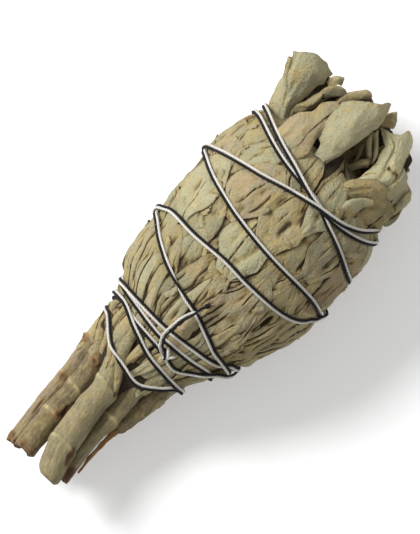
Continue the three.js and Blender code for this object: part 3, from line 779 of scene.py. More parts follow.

# The crown's leaves that show from above: how warm, pink and light each is, the shade painted on it
# where it lies deep, how crumpled it is, and lines of points from its base to its tip, side by side: x, y, z
CROWN = {
    "tall_leaf": ((0.0, 0.1, 0.9), 0.0, 0.35, [
        [[39, 14, 25.5], [42.5, 15.5, 28.5], [49, 20, 33.5], [55.5, 24.5, 36], [57, 25, 35.5]],
        [[40, 13, 26], [43.5, 15.5, 29.5], [51, 19.5, 34.5], [57, 22.5, 36.5], [58.5, 23, 36]],
        [[41, 12.5, 26], [45, 15, 29.5], [56.5, 19, 36], [59, 20, 36], [60, 20.5, 35]],
        [[42, 12.5, 25], [46, 15, 28.5], [56.5, 16, 34], [59, 17, 34], [60.5, 17.5, 33]],
        [[42.5, 12, 24], [46.5, 14.5, 27], [56, 14, 30.5], [59.5, 13.5, 30]],
    ]),
    "side_leaf": ((0.3, 0.1, 0.7), 0.0, 0.3, [
        [[37.5, 14.5, 22], [39.5, 15.5, 23], [42, 19.5, 24], [45, 21, 25.5], [52, 23, 27.5], [55, 24.5, 29]],
        [[38.5, 14.5, 25], [40.5, 15, 26], [43, 18, 28], [55, 24.5, 32.5]],
        [[39.5, 14.5, 27], [42, 15, 28.5], [51.5, 22, 33.5], [55, 24.5, 34.5]],
        [[40.5, 13, 25], [43, 14, 27.5], [56, 22, 33.5]],
    ]),
    "rolled_leaf": ((0.4, 0.2, 0.4), 0.05, 0.3, [
        [[43, 14, 26], [47.5, 15, 28.5], [49.5, 14, 29.5], [57, 12, 31], [58.5, 9, 31]],
        [[42.5, 13.5, 27], [46.5, 15, 30], [50.5, 12.5, 32], [56.5, 11.5, 32.5], [58.5, 8.5, 32]],
        [[42, 13.5, 26.5], [45.5, 14, 29], [50, 11.5, 30.5], [54, 10.5, 31], [58, 7.5, 30.5]],
        [[41.5, 13.5, 24], [45, 14.5, 26.5], [49.5, 11.5, 28], [54.5, 10.5, 29], [57.5, 7.5, 29]],
    ]),
    "small_curl": ((0.5, 0.0, 0.9), 0.0, 0.3, [
        [[56.5, 13.5, 30], [58, 13.5, 32], [59.5, 12.5, 33], [60.5, 11, 32.5]],
        [[56.5, 13, 30.5], [59, 12, 34], [60, 10.5, 33]],
        [[56, 12, 30], [58, 11, 32.5], [58.5, 10, 31.5]],
    ]),
    "yellow_tip": ((1.0, 0.3, 0.6), 0.0, 0.3, [
        [[55, 9, 28.5], [58, 8, 30.5], [62, 5, 31.5], [62.5, 3.5, 31]],
        [[54, 8, 29], [57.5, 7.5, 31], [61, 4.5, 32.5], [62, 2.5, 31.5]],
        [[53.5, 7.5, 28.5], [56.5, 6.5, 30], [60, 3.5, 31], [61.5, 2.5, 30.5]],
    ]),
    "ridged_leaf": ((0.7, 0.4, 0.6), 0.0, 0.3, [
        [[39, 14, 37], [46, 13.5, 37.5], [49, 11, 37], [52, 10.5, 36], [55.5, 7.5, 35]],
        [[38.5, 12, 38.5], [45, 12, 39], [48, 10.5, 38], [53.5, 9, 36.5], [55, 7, 36]],
        [[38, 10, 39.5], [44.5, 10, 40], [47.5, 9, 39], [53, 8, 37], [54.5, 6, 36.5]],
        [[38, 8.5, 40], [40.5, 8, 40.5], [47, 8, 39.5], [52, 7, 37.5], [54, 5.5, 37]],
    ]),
    "inner_ridge_leaf": ((0.8, 0.5, 0.4), 0.0, 0.3, [
        [[38, 8.5, 39.5], [40.5, 8, 40], [44, 8, 39.5], [49.5, 7.5, 38], [51, 7, 37.5]],
        [[37.5, 7, 40], [44, 7, 40], [50.5, 6, 37.5]],
        [[37, 5.5, 40], [40, 4.5, 40.5], [45, 5.5, 39], [50, 5, 37.5]],
    ]),
    "broad_leaf": ((0.1, 0.0, 0.9), 0.0, 0.15, [
        [[41, 3.5, 38.5], [44, 4, 38.5], [45, 5.5, 38.5], [51, 7, 38], [56, 7, 36.5]],
        [[41.5, 2, 39], [44.5, 2.5, 40], [46.5, 3.5, 40.5], [49, 4, 40.5], [58, 5.5, 37.5]],
        [[41.5, 0.5, 39], [44.5, 0.5, 40], [46.5, 1, 41], [53.5, 1.5, 41], [60.5, 2.5, 37.5]],
        [[42, 0, 38.5], [44, -0.5, 39.5], [50.5, -1, 40.5], [58.5, -1, 38.5], [62.5, 0, 37]],
        [[42, -0.5, 37.5], [46.5, -1.5, 38.5], [54.5, -3, 37.5], [58, -3.5, 36], [64, -1.5, 35.5]],
        [[41.5, -0.5, 36], [50.5, -2, 36], [58, -3.5, 34], [62, -2.5, 34.5]],
    ]),
    # Its lightness of 1.8, past the others', is painted light: it brightens a leaf that the lamps leave
    # darker.
    "draped_leaf_top": ((0.1, 0.0, 1.8), 0.0, 0.2, [
        [[40, -5.5, 34.5], [43.5, -8.5, 35], [50.5, -9.5, 33],
         [53, -8.5, 32.5], [55, -8, 32], [58, -3.5, 32]],
        [[40.5, -7, 35.5], [43.5, -10, 36], [46.5, -11, 35], [52, -11, 34], [56.5, -9, 33.5], [58, -5, 33]],
        [[40.5, -8, 35.5], [47, -12.5, 34.5], [54.5, -11, 33], [58, -8.5, 33], [59, -7, 32.5]],
        [[40.5, -8.5, 34.5], [44.5, -12, 35], [50, -14, 34], [59, -9.5, 33], [60.5, -8.5, 32]],
        [[41, -9.5, 34], [44.5, -13, 34], [50, -15.5, 32.5],
         [55.5, -13.5, 32], [60, -11, 32], [62.5, -9.5, 31.5]],
        [[41, -10.5, 31.5], [44.5, -14, 31], [50.5, -17, 29.5],
         [56, -14.5, 29], [60, -13, 28.5], [61.5, -12, 28.5]],
    ]),
    "draped_leaf_low": ((0.3, 0.1, 0.9), 0.0, 0.4, [
        [[42.5, -13, 33], [45.5, -14.5, 33], [52, -15.5, 31.5], [55, -15, 30.5]],
        [[42, -14.5, 33], [45, -16, 33], [51.5, -17, 32], [54, -16.5, 30.5]],
        [[41, -16, 31], [44, -17.5, 31], [50.5, -18.5, 29.5], [52.5, -18, 28.5]],
        [[40.5, -18, 29.5], [43.5, -19.5, 29.5], [49.5, -20, 28], [52, -19.5, 27]],
    ]),
    "corner_strip_one": ((0.5, 0.0, 0.7), 0.0, 0.3, [
        [[43, -19, 27], [49.5, -20, 28], [52, -19.5, 27]],
        [[43, -20, 27.5], [46.5, -21, 28.5], [49.5, -21, 28.5], [50.5, -21.5, 27]],
        [[42.5, -21, 26], [46, -22, 27], [49, -22, 25.5]],
    ]),
    "right_leaf": ((1.0, 0.3, 0.35), 0.1, 0.35, [
        [[38.5, -6, 37], [43.5, -8, 37.5], [48, -13, 35.5], [48, -15.5, 33.5]],
        [[38, -7, 37.5], [42.5, -9.5, 38], [47.5, -14, 36], [47.5, -16.5, 34]],
        [[38, -8.5, 37], [41.5, -10, 37.5], [46.5, -15, 36], [46.5, -17, 34]],
        [[38, -9.5, 36.5], [40.5, -10.5, 37], [42.5, -13, 36], [46, -17.5, 33]],
        [[37, -10.5, 35.5], [39, -12, 35.5], [43, -16.5, 33], [45.5, -18, 32]],
    ]),
    "light_leaf": ((0.4, 0.1, 1.0), 0.0, 0.3, [
        [[35.5, -9.5, 38.5], [40.5, -11.5, 37.5], [43.5, -15.5, 35]],
        [[35, -10.5, 38.5], [40, -12.5, 38], [42.5, -16, 35]],
        [[35, -11.5, 37], [36, -14, 35.5], [37.5, -14.5, 35], [40, -14.5, 35], [42, -15.5, 34.5]],
    ]),
    "brown_leaf": ((1.0, 0.3, 0.15), 0.15, 0.5, [
        [[34.5, -12.5, 36], [43, -14.5, 34.5], [45.5, -17, 33], [46, -19, 31]],
        [[34.5, -14.5, 34.5], [38.5, -15.5, 34.5], [44.5, -18.5, 32], [45.5, -20, 29.5]],
        [[35, -16, 32], [38, -18, 32.5], [43.5, -20, 30], [44.5, -21, 28.5]],
        [[35, -17, 29], [39, -21, 28.5], [42.5, -21.5, 27]],
    ]),
    "low_right_leaf": ((0.8, 0.4, 0.3), 0.1, 0.4, [
        [[35, -16.5, 31], [37.5, -17.5, 30.5], [40.5, -21, 28]],
        [[34.5, -17.5, 29], [36.5, -19.5, 28.5], [39.5, -21.5, 26.5]],
        [[33.5, -19, 25], [37, -22, 24], [38.5, -22, 24]],
    ]),
    "strip_one": ((0.3, 0.1, 0.4), 0.3, 0.3, [
        [[44.5, -5, 29], [47.5, -5, 30.5], [51, -3.5, 31]],
        [[45, -5.5, 30], [47.5, -5.5, 31.5], [51.5, -4, 32]],
        [[45.5, -6, 29], [50, -5, 31], [52, -4, 31]],
    ]),
    "strip_two": ((0.2, 0.1, 0.7), 0.05, 0.2, [
        [[48, -7.5, 30], [50, -6.5, 32], [52, -4.5, 33], [54.5, -3, 33]],
        [[48.5, -8, 31], [50.5, -7, 33], [52.5, -5, 34], [55, -3.5, 33.5]],
        [[48.5, -8.5, 30], [51, -7.5, 32], [53, -5.5, 33], [55.5, -3.5, 32.5]],
    ]),
    "strip_three": ((0.2, 0.1, 0.7), 0.05, 0.2, [
        [[49, -8.5, 31], [51.5, -7.5, 32.5], [55.5, -3.5, 33]],
        [[49.5, -9, 32], [52, -8, 33.5], [56, -4, 33.5]],
        [[50, -9, 31], [52.5, -8, 32.5], [57, -4, 33]],
    ]),
    "strip_four": ((0.4, 0.1, 0.6), 0.15, 0.3, [
        [[45, -4.5, 30.5], [49, -6.5, 32.5], [50.5, -8, 32]],
        [[44.5, -5.5, 31], [46.5, -6, 33], [48.5, -7.5, 33.5], [49, -8.5, 32.5]],
        [[44, -6.5, 30], [46, -7, 31.5], [48.5, -9, 31.5]],
    ]),
    "bud": ((1.0, 0.4, 0.4), 0.1, 0.3, [
        [[57.5, -3, 31], [61.5, -3, 32.5], [63.5, -4.5, 31.5]],
        [[58, -3.5, 33], [61.5, -4, 34], [62.5, -5.5, 33]],
        [[58, -4.5, 32], [59, -5.5, 32.5], [59.5, -6.5, 32.5], [61.5, -6, 31.5]],
    ]),
}

# Leaves under and beside those, along a spine: x, y, z, half width, roll and curl in degrees
CROWN_FILL = [
    [[38, 11.5, 27.5, 3, 0, -20], [48, 10.8, 29, 4.4, 5, -30], [57, 8.6, 28.5, 2.6, 8, -40]],
    [[34, 15.5, 20, 3, 70, -10], [44, 16.5, 21, 4, 75, 0], [53, 17.5, 21, 3, 75, 20]],
    [[29, -16.5, 29, 3, -55, -10], [38, -17.5, 27.5, 4.4, -60, 0], [45, -17.6, 26, 4.2, -60, 20],
     [50, -17.4, 24, 2.6, -60, 30]],
    [[29, -18.5, 22, 4, -85, -20], [40, -19, 20.5, 4.6, -88, 0], [47, -18.5, 19, 4, -92, 20],
     [51, -17.5, 18, 2.2, -92, 40]],
    [[38, -12, 27, 4, -35, 10], [48, -13, 27.5, 5.5, -35, 20], [58, -12, 26.5, 4.5, -35, 40]],
    [[36, 2, 34, 4, 0, -20], [44, 3, 35.5, 5, 0, -20], [52, 4, 34.5, 4, 0, -20], [57, 3.5, 33, 2.5, 0, -20]],
    [[42, 14, 24, 3, 10, -20], [51, 14.6, 25.5, 3.5, 10, -20], [58, 13.2, 27, 2.2, 10, -20]],
    [[42, -5, 22, 4.5, 0, -20], [51, -5.5, 24, 5.5, 0, -10], [59, -6.5, 25.5, 4, 0, 10]],
]

# The crown's hidden side and its inside, placed by the same rule as in the part's source: leaves,
# base x and share of the radius, tip x and share, width, first and last angle in degrees
CROWN_RINGS = [
    [8, 33, 0.9, 55, 0.86, 11, 100, 262],
    [5, 40, 0.5, 58, 0.62, 8.5, 75, 290],
    [3, 40, 0.2, 60, 0.25, 7, 20, 290],
]


def crown_ring_leaves():
    """Base, tip, width, angle, bow, cup, wave and base share of each leaf, by the source's rule."""
    numbers = random_stream(37)
    draw = lambda: next(numbers)
    half_width, half_height = along_rows(OUTLINE, 30)[:2]

    def place(x, share, turn):
        y, z = along_rows(OUTLINE, x)[2:]
        return [x, y + half_width * share * math.sin(turn), z + half_height * share * math.cos(turn)]

    leaves = []
    for count, base_x, base_share, tip_x, tip_share, width, first, last in CROWN_RINGS:
        for k in range(count):
            angle = math.radians(first + (last - first) * k / (count - 1) + 8 * (draw() - 0.5))
            base = place(base_x, base_share, angle)
            tip = place(tip_x + 6 * (draw() - 0.5), tip_share, angle + 0.3 * (draw() - 0.5))
            made = width * (0.85 + 0.3 * draw())
            bow, cup, wave = 1 + 2 * draw(), 0.3 * (draw() - 0.4), 0.4 + 0.4 * draw()
            leaves.append((base, tip, made, angle, bow, cup, wave, base_share))
    return leaves


TIED_TO_X = 44  # up to here the crown's leaves lie under the string
UNDER_STRING = -1.7  # height over the outline


def under_string(point):
    """The point moved in under the outline where the string passes over it."""
    x, angle, height = bunch_place(point)
    if x > TIED_TO_X or height < UNDER_STRING:
        return point
    return bunch_point(x, angle, UNDER_STRING)


def two_folds(random, nearest, most):
    """A fold on each side of a leaf's middle: its place across the leaf, and its turn in degrees."""
    one_side = (random.uniform(0.2, 0.6), random.uniform(-most, most))
    return [one_side, (-random.uniform(nearest, nearest + 0.4), random.uniform(-most, most))]


# How wide such a leaf is: share of its length, share of its full width
RING_LEAF_WIDTHS = [(0, 0.55), (0.2, 0.8), (0.4, 0.95), (0.6, 1.0), (0.85, 0.8), (1, 0.5)]
FILLING_WIDTHS = [(0, 0.5), (0.35, 0.85), (0.7, 1.0), (1, 0.6)]


def crown_rings(mesh):
    random = np.random.default_rng(71)
    for number, (base, tip, width, angle, bow, cup, wave, share) in enumerate(crown_ring_leaves()):
        out = outward(angle)
        curl = random.uniform(-70, 60)
        spine = []
        for t, part in RING_LEAF_WIDTHS:
            point = np.array(base) * (1 - 0.95 * t) + np.array(tip) * 0.95 * t
            point = under_string(point + out * (0.4 * bow * math.sin(math.pi * t) - 1.2))
            spine.append([*point, width / 2 * part, 0, curl * part + math.degrees(8 * cup)])
        folds = two_folds(random, 0.3, 60)
        # The inner rings' leaves are painted in shade.
        shade = 0 if share > 0.8 else 0.7
        free_leaf(mesh, spine, 50 + number, leaf_tint(random), folds, ruffle=wave + 0.3, up=out, shade=shade)


FILLING_LEAVES = 34
GOLDEN_TURN = math.radians(137.508)
OPEN_ABOVE = 0.3  # share of the bunch's half height, over which the hollow stays open
HOLLOW_BASE_X = 39  # where its leaves start


def crown_filling(mesh):
    """Folded and rolled leaves that fill the crown's inside behind those that show from above."""
    random = np.random.default_rng(89)
    half_width, half_height, middle_y, middle_z = along_rows(OUTLINE, 34)
    for number in range(FILLING_LEAVES):
        share = 0.84 * math.sqrt((number + 0.5) / FILLING_LEAVES)
        angle = number * GOLDEN_TURN
        tip_x = 57 - 5 * share**2 + random.uniform(-3.5, 2.5)
        width, curl, lean = random.uniform(7, 11), random.uniform(60, 230), random.uniform(-0.12, 0.12)
        folds = two_folds(random, 0.2, 90)
        tint = leaf_tint(random)
        if share * math.cos(angle) > OPEN_ABOVE:
            continue
        spine = []
        for t, part in FILLING_WIDTHS:
            reach = share * (0.7 + 0.3 * t)
            y = middle_y + half_width * reach * math.sin(angle + lean * t)
            z = middle_z + half_height * reach * math.cos(angle + lean * t)
            x = HOLLOW_BASE_X + (tip_x - HOLLOW_BASE_X) * t
            spine.append([x, y, z, width / 2 * part, random.uniform(-15, 15), -curl * part])
        # Painted shade, deeper towards the middle of the crown.
        shade = 0.6 * (1 - share)
        free_leaf(mesh, spine, 500 + number, tint, folds, ruffle=0.5, up=outward(angle), shade=shade)


# Woody stems. A path runs from the cut end to the tip inside the leaves: x, y, z, radius. Rings are
# the places of old leaf pairs. Scars are brown torn places: x, angle, length, width. Knobs are the
# stubs of side shoots: x, angle, size, height. A ragged end is torn, not cut.
STEMS = {
    "stem_front": dict(
        path=[[-63.2, -4.2, 21.4, 3.6], [-55.3, -1.4, 22, 3.7], [-43.2, 0.4, 23, 3.5],
              [-36.7, 0.8, 24.2, 3.3], [-26.5, 4.6, 26.6, 2.9], [-10, 5, 27.5, 2.4], [34, 4, 27, 1.3]],
        rings=[-54.5, -36.5], scars=[(-55.2, -64, 2.4, 1.6), (-35.8, -60, 1.2, 0.8)],
        knobs=[(-54.8, -62, 0.7, 0.5)], tint=(0.2, 0.05, 0.75), ragged=0.1),
    "stem_left": dict(
        path=[[-62.3, 4.9, 16.6, 3.1], [-49.8, 5.8, 17.4, 3.1], [-41.9, 5.9, 18, 3.0], [-33.5, 7.2, 20, 2.8],
              [-26, 8.2, 21.2, 2.6], [-10, 9.5, 22, 2.2], [32, 9, 22, 1.2]],
        rings=[-51, -42.5, -33], scars=[(-48.2, -28, 2.2, 0.8)],
        knobs=[(-49.8, -14, 1.0, 0.75), (-33.6, 5, 1.0, 0.8), (-61.2, -35, 0.9, 0.5), (-61.4, 25, 0.8, 0.5)],
        tint=(0.75, 0.1, 0.55), ragged=0.8),
    "stem_far_left": dict(
        path=[[-63, 8.0, 12.6, 2.3], [-48.8, 9.5, 13.6, 2.2], [-41.8, 9.9, 14.4, 2.2], [-30, 11.4, 17, 2.1],
              [-22.7, 12, 18, 2.0], [-8, 13, 17, 1.8], [30, 13, 16, 1.1]],
        rings=[-42, -31], scars=[(-52, 20, 3.2, 0.4)],
        knobs=[(-41.8, 20, 0.9, 0.7), (-31, 62, 1.0, 0.9), (-62, 0, 0.8, 0.5), (-61.4, 60, 0.8, 0.5)],
        tint=(0.35, 0.5, 0.8), ragged=0.8),
    "stem_behind": dict(
        path=[[-56, 1.2, 12.8, 2.0], [-47.8, 1.2, 13.4, 2.0], [-36, 0.7, 15.6, 2.0], [-24, 1.8, 19.5, 1.9],
              [-8, 1.5, 21, 1.7], [36, 0, 21, 1.0]],
        rings=[-45], tint=(0.6, 0.3, 0.3), ragged=0.4),
    "stem_right": dict(
        path=[[-61, -7, 16.8, 1.9], [-48.6, -5.3, 18.6, 2.0], [-41.6, -5.4, 20, 2.2],
              [-33.7, -4.5, 21.4, 2.4], [-24, -3.2, 24, 2.2], [-8, -5, 27, 1.8], [34, -5, 28, 1.1]],
        rings=[-42], scars=[(-58.5, -30, 2.5, 1.2)], tint=(0.3, 0.1, 0.6), ragged=0.5),
    "stem_far_right": dict(
        path=[[-42.8, -8.1, 16.2, 2.1], [-35.3, -8.7, 17, 2.6], [-28.1, -9.5, 18.2, 2.8],
              [-20, -11.2, 19.5, 2.0], [-5, -13, 20, 1.6], [28, -13, 20, 1.1]],
        rings=[-36], scars=[(-33, -95, 9, 0.9)], tint=(0.75, 0.1, 0.45), ragged=0.2),
    "stem_under_right": dict(
        path=[[-58, -3.2, 13.4, 2.3], [-46, -3.4, 14.4, 2.3], [-34, -4.5, 16.4, 2.2], [-24, -5.6, 18, 2.1],
              [-8, -7, 16, 1.8], [32, -6, 15, 1.1]],
        rings=[-50, -37], scars=[(-50, 170, 1.5, 1.1)], tint=(0.5, 0.3, 0.5), ragged=0.6),
    "stem_under_left": dict(
        path=[[-59, 5.2, 9.2, 2.2], [-46, 6.2, 11.2, 2.2], [-34, 6.4, 13, 2.2], [-24, 6.6, 14.6, 2.1],
              [-8, 7, 13, 1.8], [32, 6, 13, 1.1]],
        rings=[-47, -34], scars=[(-34, 200, 1.6, 1.2)], tint=(0.35, 0.5, 0.5), ragged=0.8),
}
SPLINTER = [[-57, -8.9, 15.2, 0.3], [-52, -8.6, 14.6, 0.5], [-45, -8.3, 13.2, 0.7], [-36, -9, 13.2, 0.8],
            [-24, -10.6, 13.4, 0.9], [-12, -11, 13.5, 0.6]]
VISIBLE_TO_X = -19  # the stems are finely built up to here
STEM_SIDES = 48
# The cut end from its middle out, a sunken pith inside a harder rim: share of the radius, how
# deep it is sunk and how dark it is
CUT_END = [(0.02, 0.9, 1.0), (0.22, 0.8, 0.95), (0.36, 0.25, 0.5), (0.62, 0.12, 0.35), (0.86, 0.0, 0.45)]
PALER = [-0.5, 0, 1.6]  # how the tint changes on a ring


def stem(name, number, material, path, rings, tint, ragged, scars=(), knobs=()):
    rough, fibre = Noise(100 + number), Noise(200 + number)
    start, end = path[0][0], path[-1][0]
    xs = np.concatenate([np.arange(start, VISIBLE_TO_X, 0.42), np.arange(VISIBLE_TO_X, end, 3), [end]])
    at = along_rows(path, xs)
    x, angle = grid_of(xs, full_turn(STEM_SIDES))
    around = np.abs(short_turn(angle))  # the same on both sides of the seam
    radius = np.repeat(at[:, 2:3], STEM_SIDES, axis=1)
    square = 0.035 * np.cos(4 * (angle - 0.4 - 0.01 * x))
    turn_x, turn_y = 20 + np.sin(angle), 20 + np.cos(angle)
    coarse, fine = fibre(x / 11, 8 * turn_x + 3 * turn_y), fibre(x / 7 + 9, 9 * turn_y - 4 * turn_x)
    fibres = 0.022 * coarse + 0.02 * fine
    lumps = 0.05 * rough.layered(x / 4.5, turn_x * 2 + turn_y)
    lumps = lumps + 0.025 * rough(x / 0.9, turn_x * 5 + turn_y * 3)
    share = 1 + square + fibres + lumps
    # Painted shade: darker in the low places between the fibres and lumps.
    cavity = np.clip(-(fibres + 0.6 * lumps) / 0.035, 0, 1) * 0.5
    paled, brown = np.zeros_like(x), np.zeros_like(x)
    for k, ring in enumerate(rings):
        past = x - ring - 0.6 * np.cos(angle - 1.3 * k) - 0.25 * rough(angle * 2, 4 + k)
        share = share + 0.1 * bell(past / 1.3) - 0.07 * bell((past - 1.1) / 0.22)
        # Painted shade in the groove just past each ring.
        cavity = np.maximum(cavity, 0.3 * bell((past - 1.1) / 0.3))
        patchy = smooth_step(0.9 + rough(turn_x * 2, turn_y * 2))
        paled = np.maximum(paled, bell((past - 0.4) / 0.45) * patchy)
    for knob_x, knob_angle, size, tall in knobs:
        turn = short_turn(angle - math.radians(knob_angle))
        apart = np.hypot(x - knob_x, turn * radius) / size
        share = share + tall / radius * smooth_step(1.7 - apart) * (0.7 + 0.6 * rough(x * 2.2, around * 5))
        share = share - 0.8 * tall / radius * smooth_step(1 - apart / 0.55)
        # Painted shade in the knob's sunken middle.
        cavity = np.maximum(cavity, smooth_step(1.1 - apart / 0.6))
        brown = np.maximum(brown, 0.6 * smooth_step(2 - apart))
    for scar_x, scar_angle, length, width in scars:
        turn = short_turn(angle - math.radians(scar_angle))
        apart = np.hypot((x - scar_x) / length, turn * radius / width) + 0.35 * rough(x * 1.2, around * 3)
        inside = smooth_step((1.15 - apart) / 0.35)
        rim = bell((apart - 1.05) / 0.18)
        share = share + (0.05 * rim - 0.09 * inside * (0.6 + 0.4 * rough(x * 2, around * 6)))
        brown = np.maximum(brown, inside)
        cavity = np.maximum(cavity, 0.35 * rim)
    frayed = ragged * (0.7 * rough(turn_x * 1.3, turn_y * 1.3) + 0.25 * rough(turn_x * 4, turn_y * 4))
    near_end = np.exp(-((x - start) / 2.2))
    worn = 0.2 + 0.3 * max(0, 1 - 2 * ragged)
    share = share - worn * np.exp(-((x - start) / 0.8))
    share = share + 0.14 * ragged * rough(x * 0.9, turn_y * 3) * near_end
    browned = smooth_step((0.3 + 1.6 * ragged - (x - start) + 1.2 * rough(turn_x * 3, turn_y * 3)) / 1.2)
    brown = np.maximum(brown, 0.75 * browned)
    side = radius * share
    y, z = at[:, 0:1] + side * np.sin(angle), at[:, 1:2] + side * np.cos(angle)
    bark = stacked(x + frayed * near_end, y, z)

    place = stacked(x, around * radius, number * 5.0)
    tints = np.array(tint) + paled[..., None] * PALER
    cap_place = stacked(0, around[:1] * 2, number * 5.0)
    grids, values = [], []
    for share_in, sunk, dark in CUT_END:
        cap = bark[:1].copy()
        cap[..., 1:] = at[0, :2] + (cap[..., 1:] - at[0, :2]) * share_in
        uneven = 0.25 * rough(6 * cap[..., 1], 6 * cap[..., 2])
        cap[..., 0] = start + frayed[:1] * share_in + sunk * radius[:1] / 3 + uneven * min(1, ragged + 0.3)
        grids.append(cap)
        values.append(values_at((1, STEM_SIDES), tint, cap_place, 0.25 + 0.5 * dark, 0.9))
    values.append(values_at(x.shape, tints, place, np.clip(cavity, 0, 1), brown))
    made = Mesh()
    made.loft(np.concatenate([*grids, bark]), np.concatenate(values))
    piece = made.make(name + "_bark", material)
    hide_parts(name)


NECK_CENTRE = np.array([0.8, 20.2])
SHEATH_ANGLES = (-48, -8, 36)  # round each stem, in degrees
# Each sheath's upper part: x, how far it is pulled in under the string, half width
SHEATH_UNDER_STRING = [(-27.5, 0.7, 1.3), (-23, 1, 1.6), (-16, 1, 1.4)]


def sheaths(mesh):
    """Torn leaf bases that run up the stems and in under the string."""
    random = np.random.default_rng(83)
    number = 0
    for rows in STEMS.values():
        for offset in SHEATH_ANGLES:
            angle_off = math.radians(offset + random.uniform(-10, 10))
            start = max(random.uniform(-36, -31.5), rows["path"][0][0] + 5)
            spine = []
            for x, share, half in [(start, 0, 0.35), (start + 3, 0, 0.9), *SHEATH_UNDER_STRING]:
                y, z, r = along_rows(rows["path"], x)
                out = outward(math.atan2(y - NECK_CENTRE[0], z - NECK_CENTRE[1]) + angle_off)
                on_stem = np.array([x, y, z]) + (r + 0.1) * out
                tied = bunch_point(x, bunch_place(on_stem)[1], -0.35 if x < -20 else -1.6)
                point = on_stem * (1 - share) + tied * share
                spine.append([*point, half * random.uniform(0.8, 1.25), random.uniform(-8, 8), -70])
            tint = [random.uniform(0.4, 1), 0.4 * random.beta(2, 2.2), random.uniform(0.3, 0.7)]
            free_leaf(mesh, spine, 700 + number, tint, ruffle=0.2, blunt=0.02, step=0.35, up=out, rib=0,
                      thickness=0.3, wrinkle=0.24)
            number += 1


def splinter():
    """A torn flat strip of stem that lies under the others."""
    rough = Noise(301)
    xs = np.arange(SPLINTER[0][0], SPLINTER[-1][0] + 0.1, 0.5)
    at = along_rows(SPLINTER, xs)
    x, angle = grid_of(xs, full_turn(20))
    uneven = 0.3 * rough(x / 2.4, np.sin(angle) * 2) + 0.25 * rough(x / 0.9, np.cos(angle) * 3)
    radius = at[:, 2:3] * (1 + uneven)
    wander = 0.25 * rough(xs / 4, 0.2)[:, None]
    y = at[:, 0:1] + wander + 1.05 * radius * np.sin(angle)
    z = at[:, 1:2] + 0.75 * radius * np.cos(angle)
    cavity = np.clip(0.4 * rough.layered(x / 5, angle * 2), 0, 1)
    made = Mesh()
    made.loft(stacked(x, y, z), values_at(x.shape, (1, 0, 0.4), stacked(x, angle, 77), cavity, 0))
    piece = made.make("splinter_strip", splinter_material())
    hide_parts("stem_splinter")


# Laid leaves that stand out on the tied body, seen from above: x, angle in degrees, slant,
# bend, length, width, base share, depth and spacing of the cracks, how many of them show, tint
FEATURE_LEAVES = [
    [4, 2, 3, 0, 19, 13, 0.45, 0.35, 7, -0.1, (0.0, 0.0, 0.95)],
    [7, 50, 6, 1, 21, 14, 0.4, 0.3, 8, -0.1, (0.1, 0.0, 0.85)],
    [15, 24, -4, -1, 19, 12, 0.4, 0.6, 4, 0.1, (0.6, 0.5, 0.55)],
    [16, -6, 3, 0, 17, 12, 0.6, 0.65, 2.8, 0.25, (1.0, 0.0, 0.75)],
    [25, -18, -4, 0, 18, 8.5, 0.3, 0.3, 5, -0.1, (0.2, 0.0, 0.7)],
    [17, -40, -3, 0, 20, 11, 0.4, 0.5, 3.2, 0.1, (0.2, 0.4, 0.0)],
    [12, -64, 2, 0, 21, 9, 0.35, 0.8, 2.4, 0.4, (1.0, 0.5, 0.0)],
]
CURLED_FEATURE = 4  # the row whose tip is curled up


def lay_feature_leaves(pressed):
    for number, line in enumerate(FEATURE_LEAVES):
        x, angle, slant, bend, length, width, base, depth, spacing, cracked, tint = line
        leaf = dict(
            x=x, angle=math.radians(angle), slant=math.radians(slant), bend=bend, length=length, width=width,
            base=base, thickness=0.4, step=0.5, tint=tint, seed=900 + 5 * number,
            curled=number == CURLED_FEATURE,
        )
        pressed.lay(leaf, pleated(leaf["seed"], width / 2, depth, spacing, 0.1, cracked))


# Thread: three strands twisted together
STRANDS = 3
STRAND_RADIUS = 0.195
STRAND_OFFSET = THREAD_RADIUS - STRAND_RADIUS
TWIST_LENGTH = 2.9  # the length of one full turn of the strands
THREAD_STEP = 0.3
THREAD_SIDES = 24
SKEW = [0.31, 0.52, 0.79]  # a direction that no stretch of thread runs along


def add_tube(mesh, points, along, normal, turns, radius, place, cavity):
    """A closed tube round the points; turns are its corners' places round it, from normal on."""
    other = np.cross(along, normal)
    out = np.cos(turns)[..., None] * normal[:, None] + np.sin(turns)[..., None] * other[:, None]
    rings = points[:, None] + radius[..., None] * out
    mesh.loft(rings, values_at(rings.shape[:2], (0, 0, 0), place, cavity, 0))


def twisted(mesh, path, place_number):
    """A closed tube along the path, whose lobed section turns along it."""
    points = evenly_along(path, THREAD_STEP)
    along = unit(np.gradient(points, axis=0))
    normal = np.cross(along[0], SKEW)
    normals = []
    for direction in along:  # the section doesn't turn about the path by itself
        normal = unit(normal - direction * (normal @ direction))
        normals.append(normal)
    s, a = grid_of(np.arange(len(points)) * THREAD_STEP, full_turn(THREAD_SIDES))
    lobe = (a - 2 * np.pi * s / TWIST_LENGTH) % (2 * np.pi / STRANDS) - np.pi / STRANDS
    radius = STRAND_OFFSET * np.cos(lobe) + np.sqrt(STRAND_RADIUS**2 - (STRAND_OFFSET * np.sin(lobe)) ** 2)
    radius = radius * (1 + 0.05 * Noise(600 + place_number)(s / 2.3, 0.5))
    radius[:2] *= 0.7
    radius[-2:] *= 0.7
    place = stacked(s, np.abs(lobe) * 0.4, place_number)
    # Painted shade: darker where the section dips in between the strands.
    add_tube(mesh, points, along, np.array(normals), a, radius, place, np.clip((0.32 - radius) / 0.1, 0, 1))


def fibre(mesh, path, radius, place_number):
    """A single loose fibre, thinner towards its end."""
    points = evenly_along(path, 0.12)
    along = unit(np.gradient(points, axis=0))
    thin = radius * np.linspace(1, 0.5, len(points))[:, None]
    add_tube(mesh, points, along, unit(np.cross(along, SKEW)), full_turn(5), thin, [0, 0, place_number], 0.1)


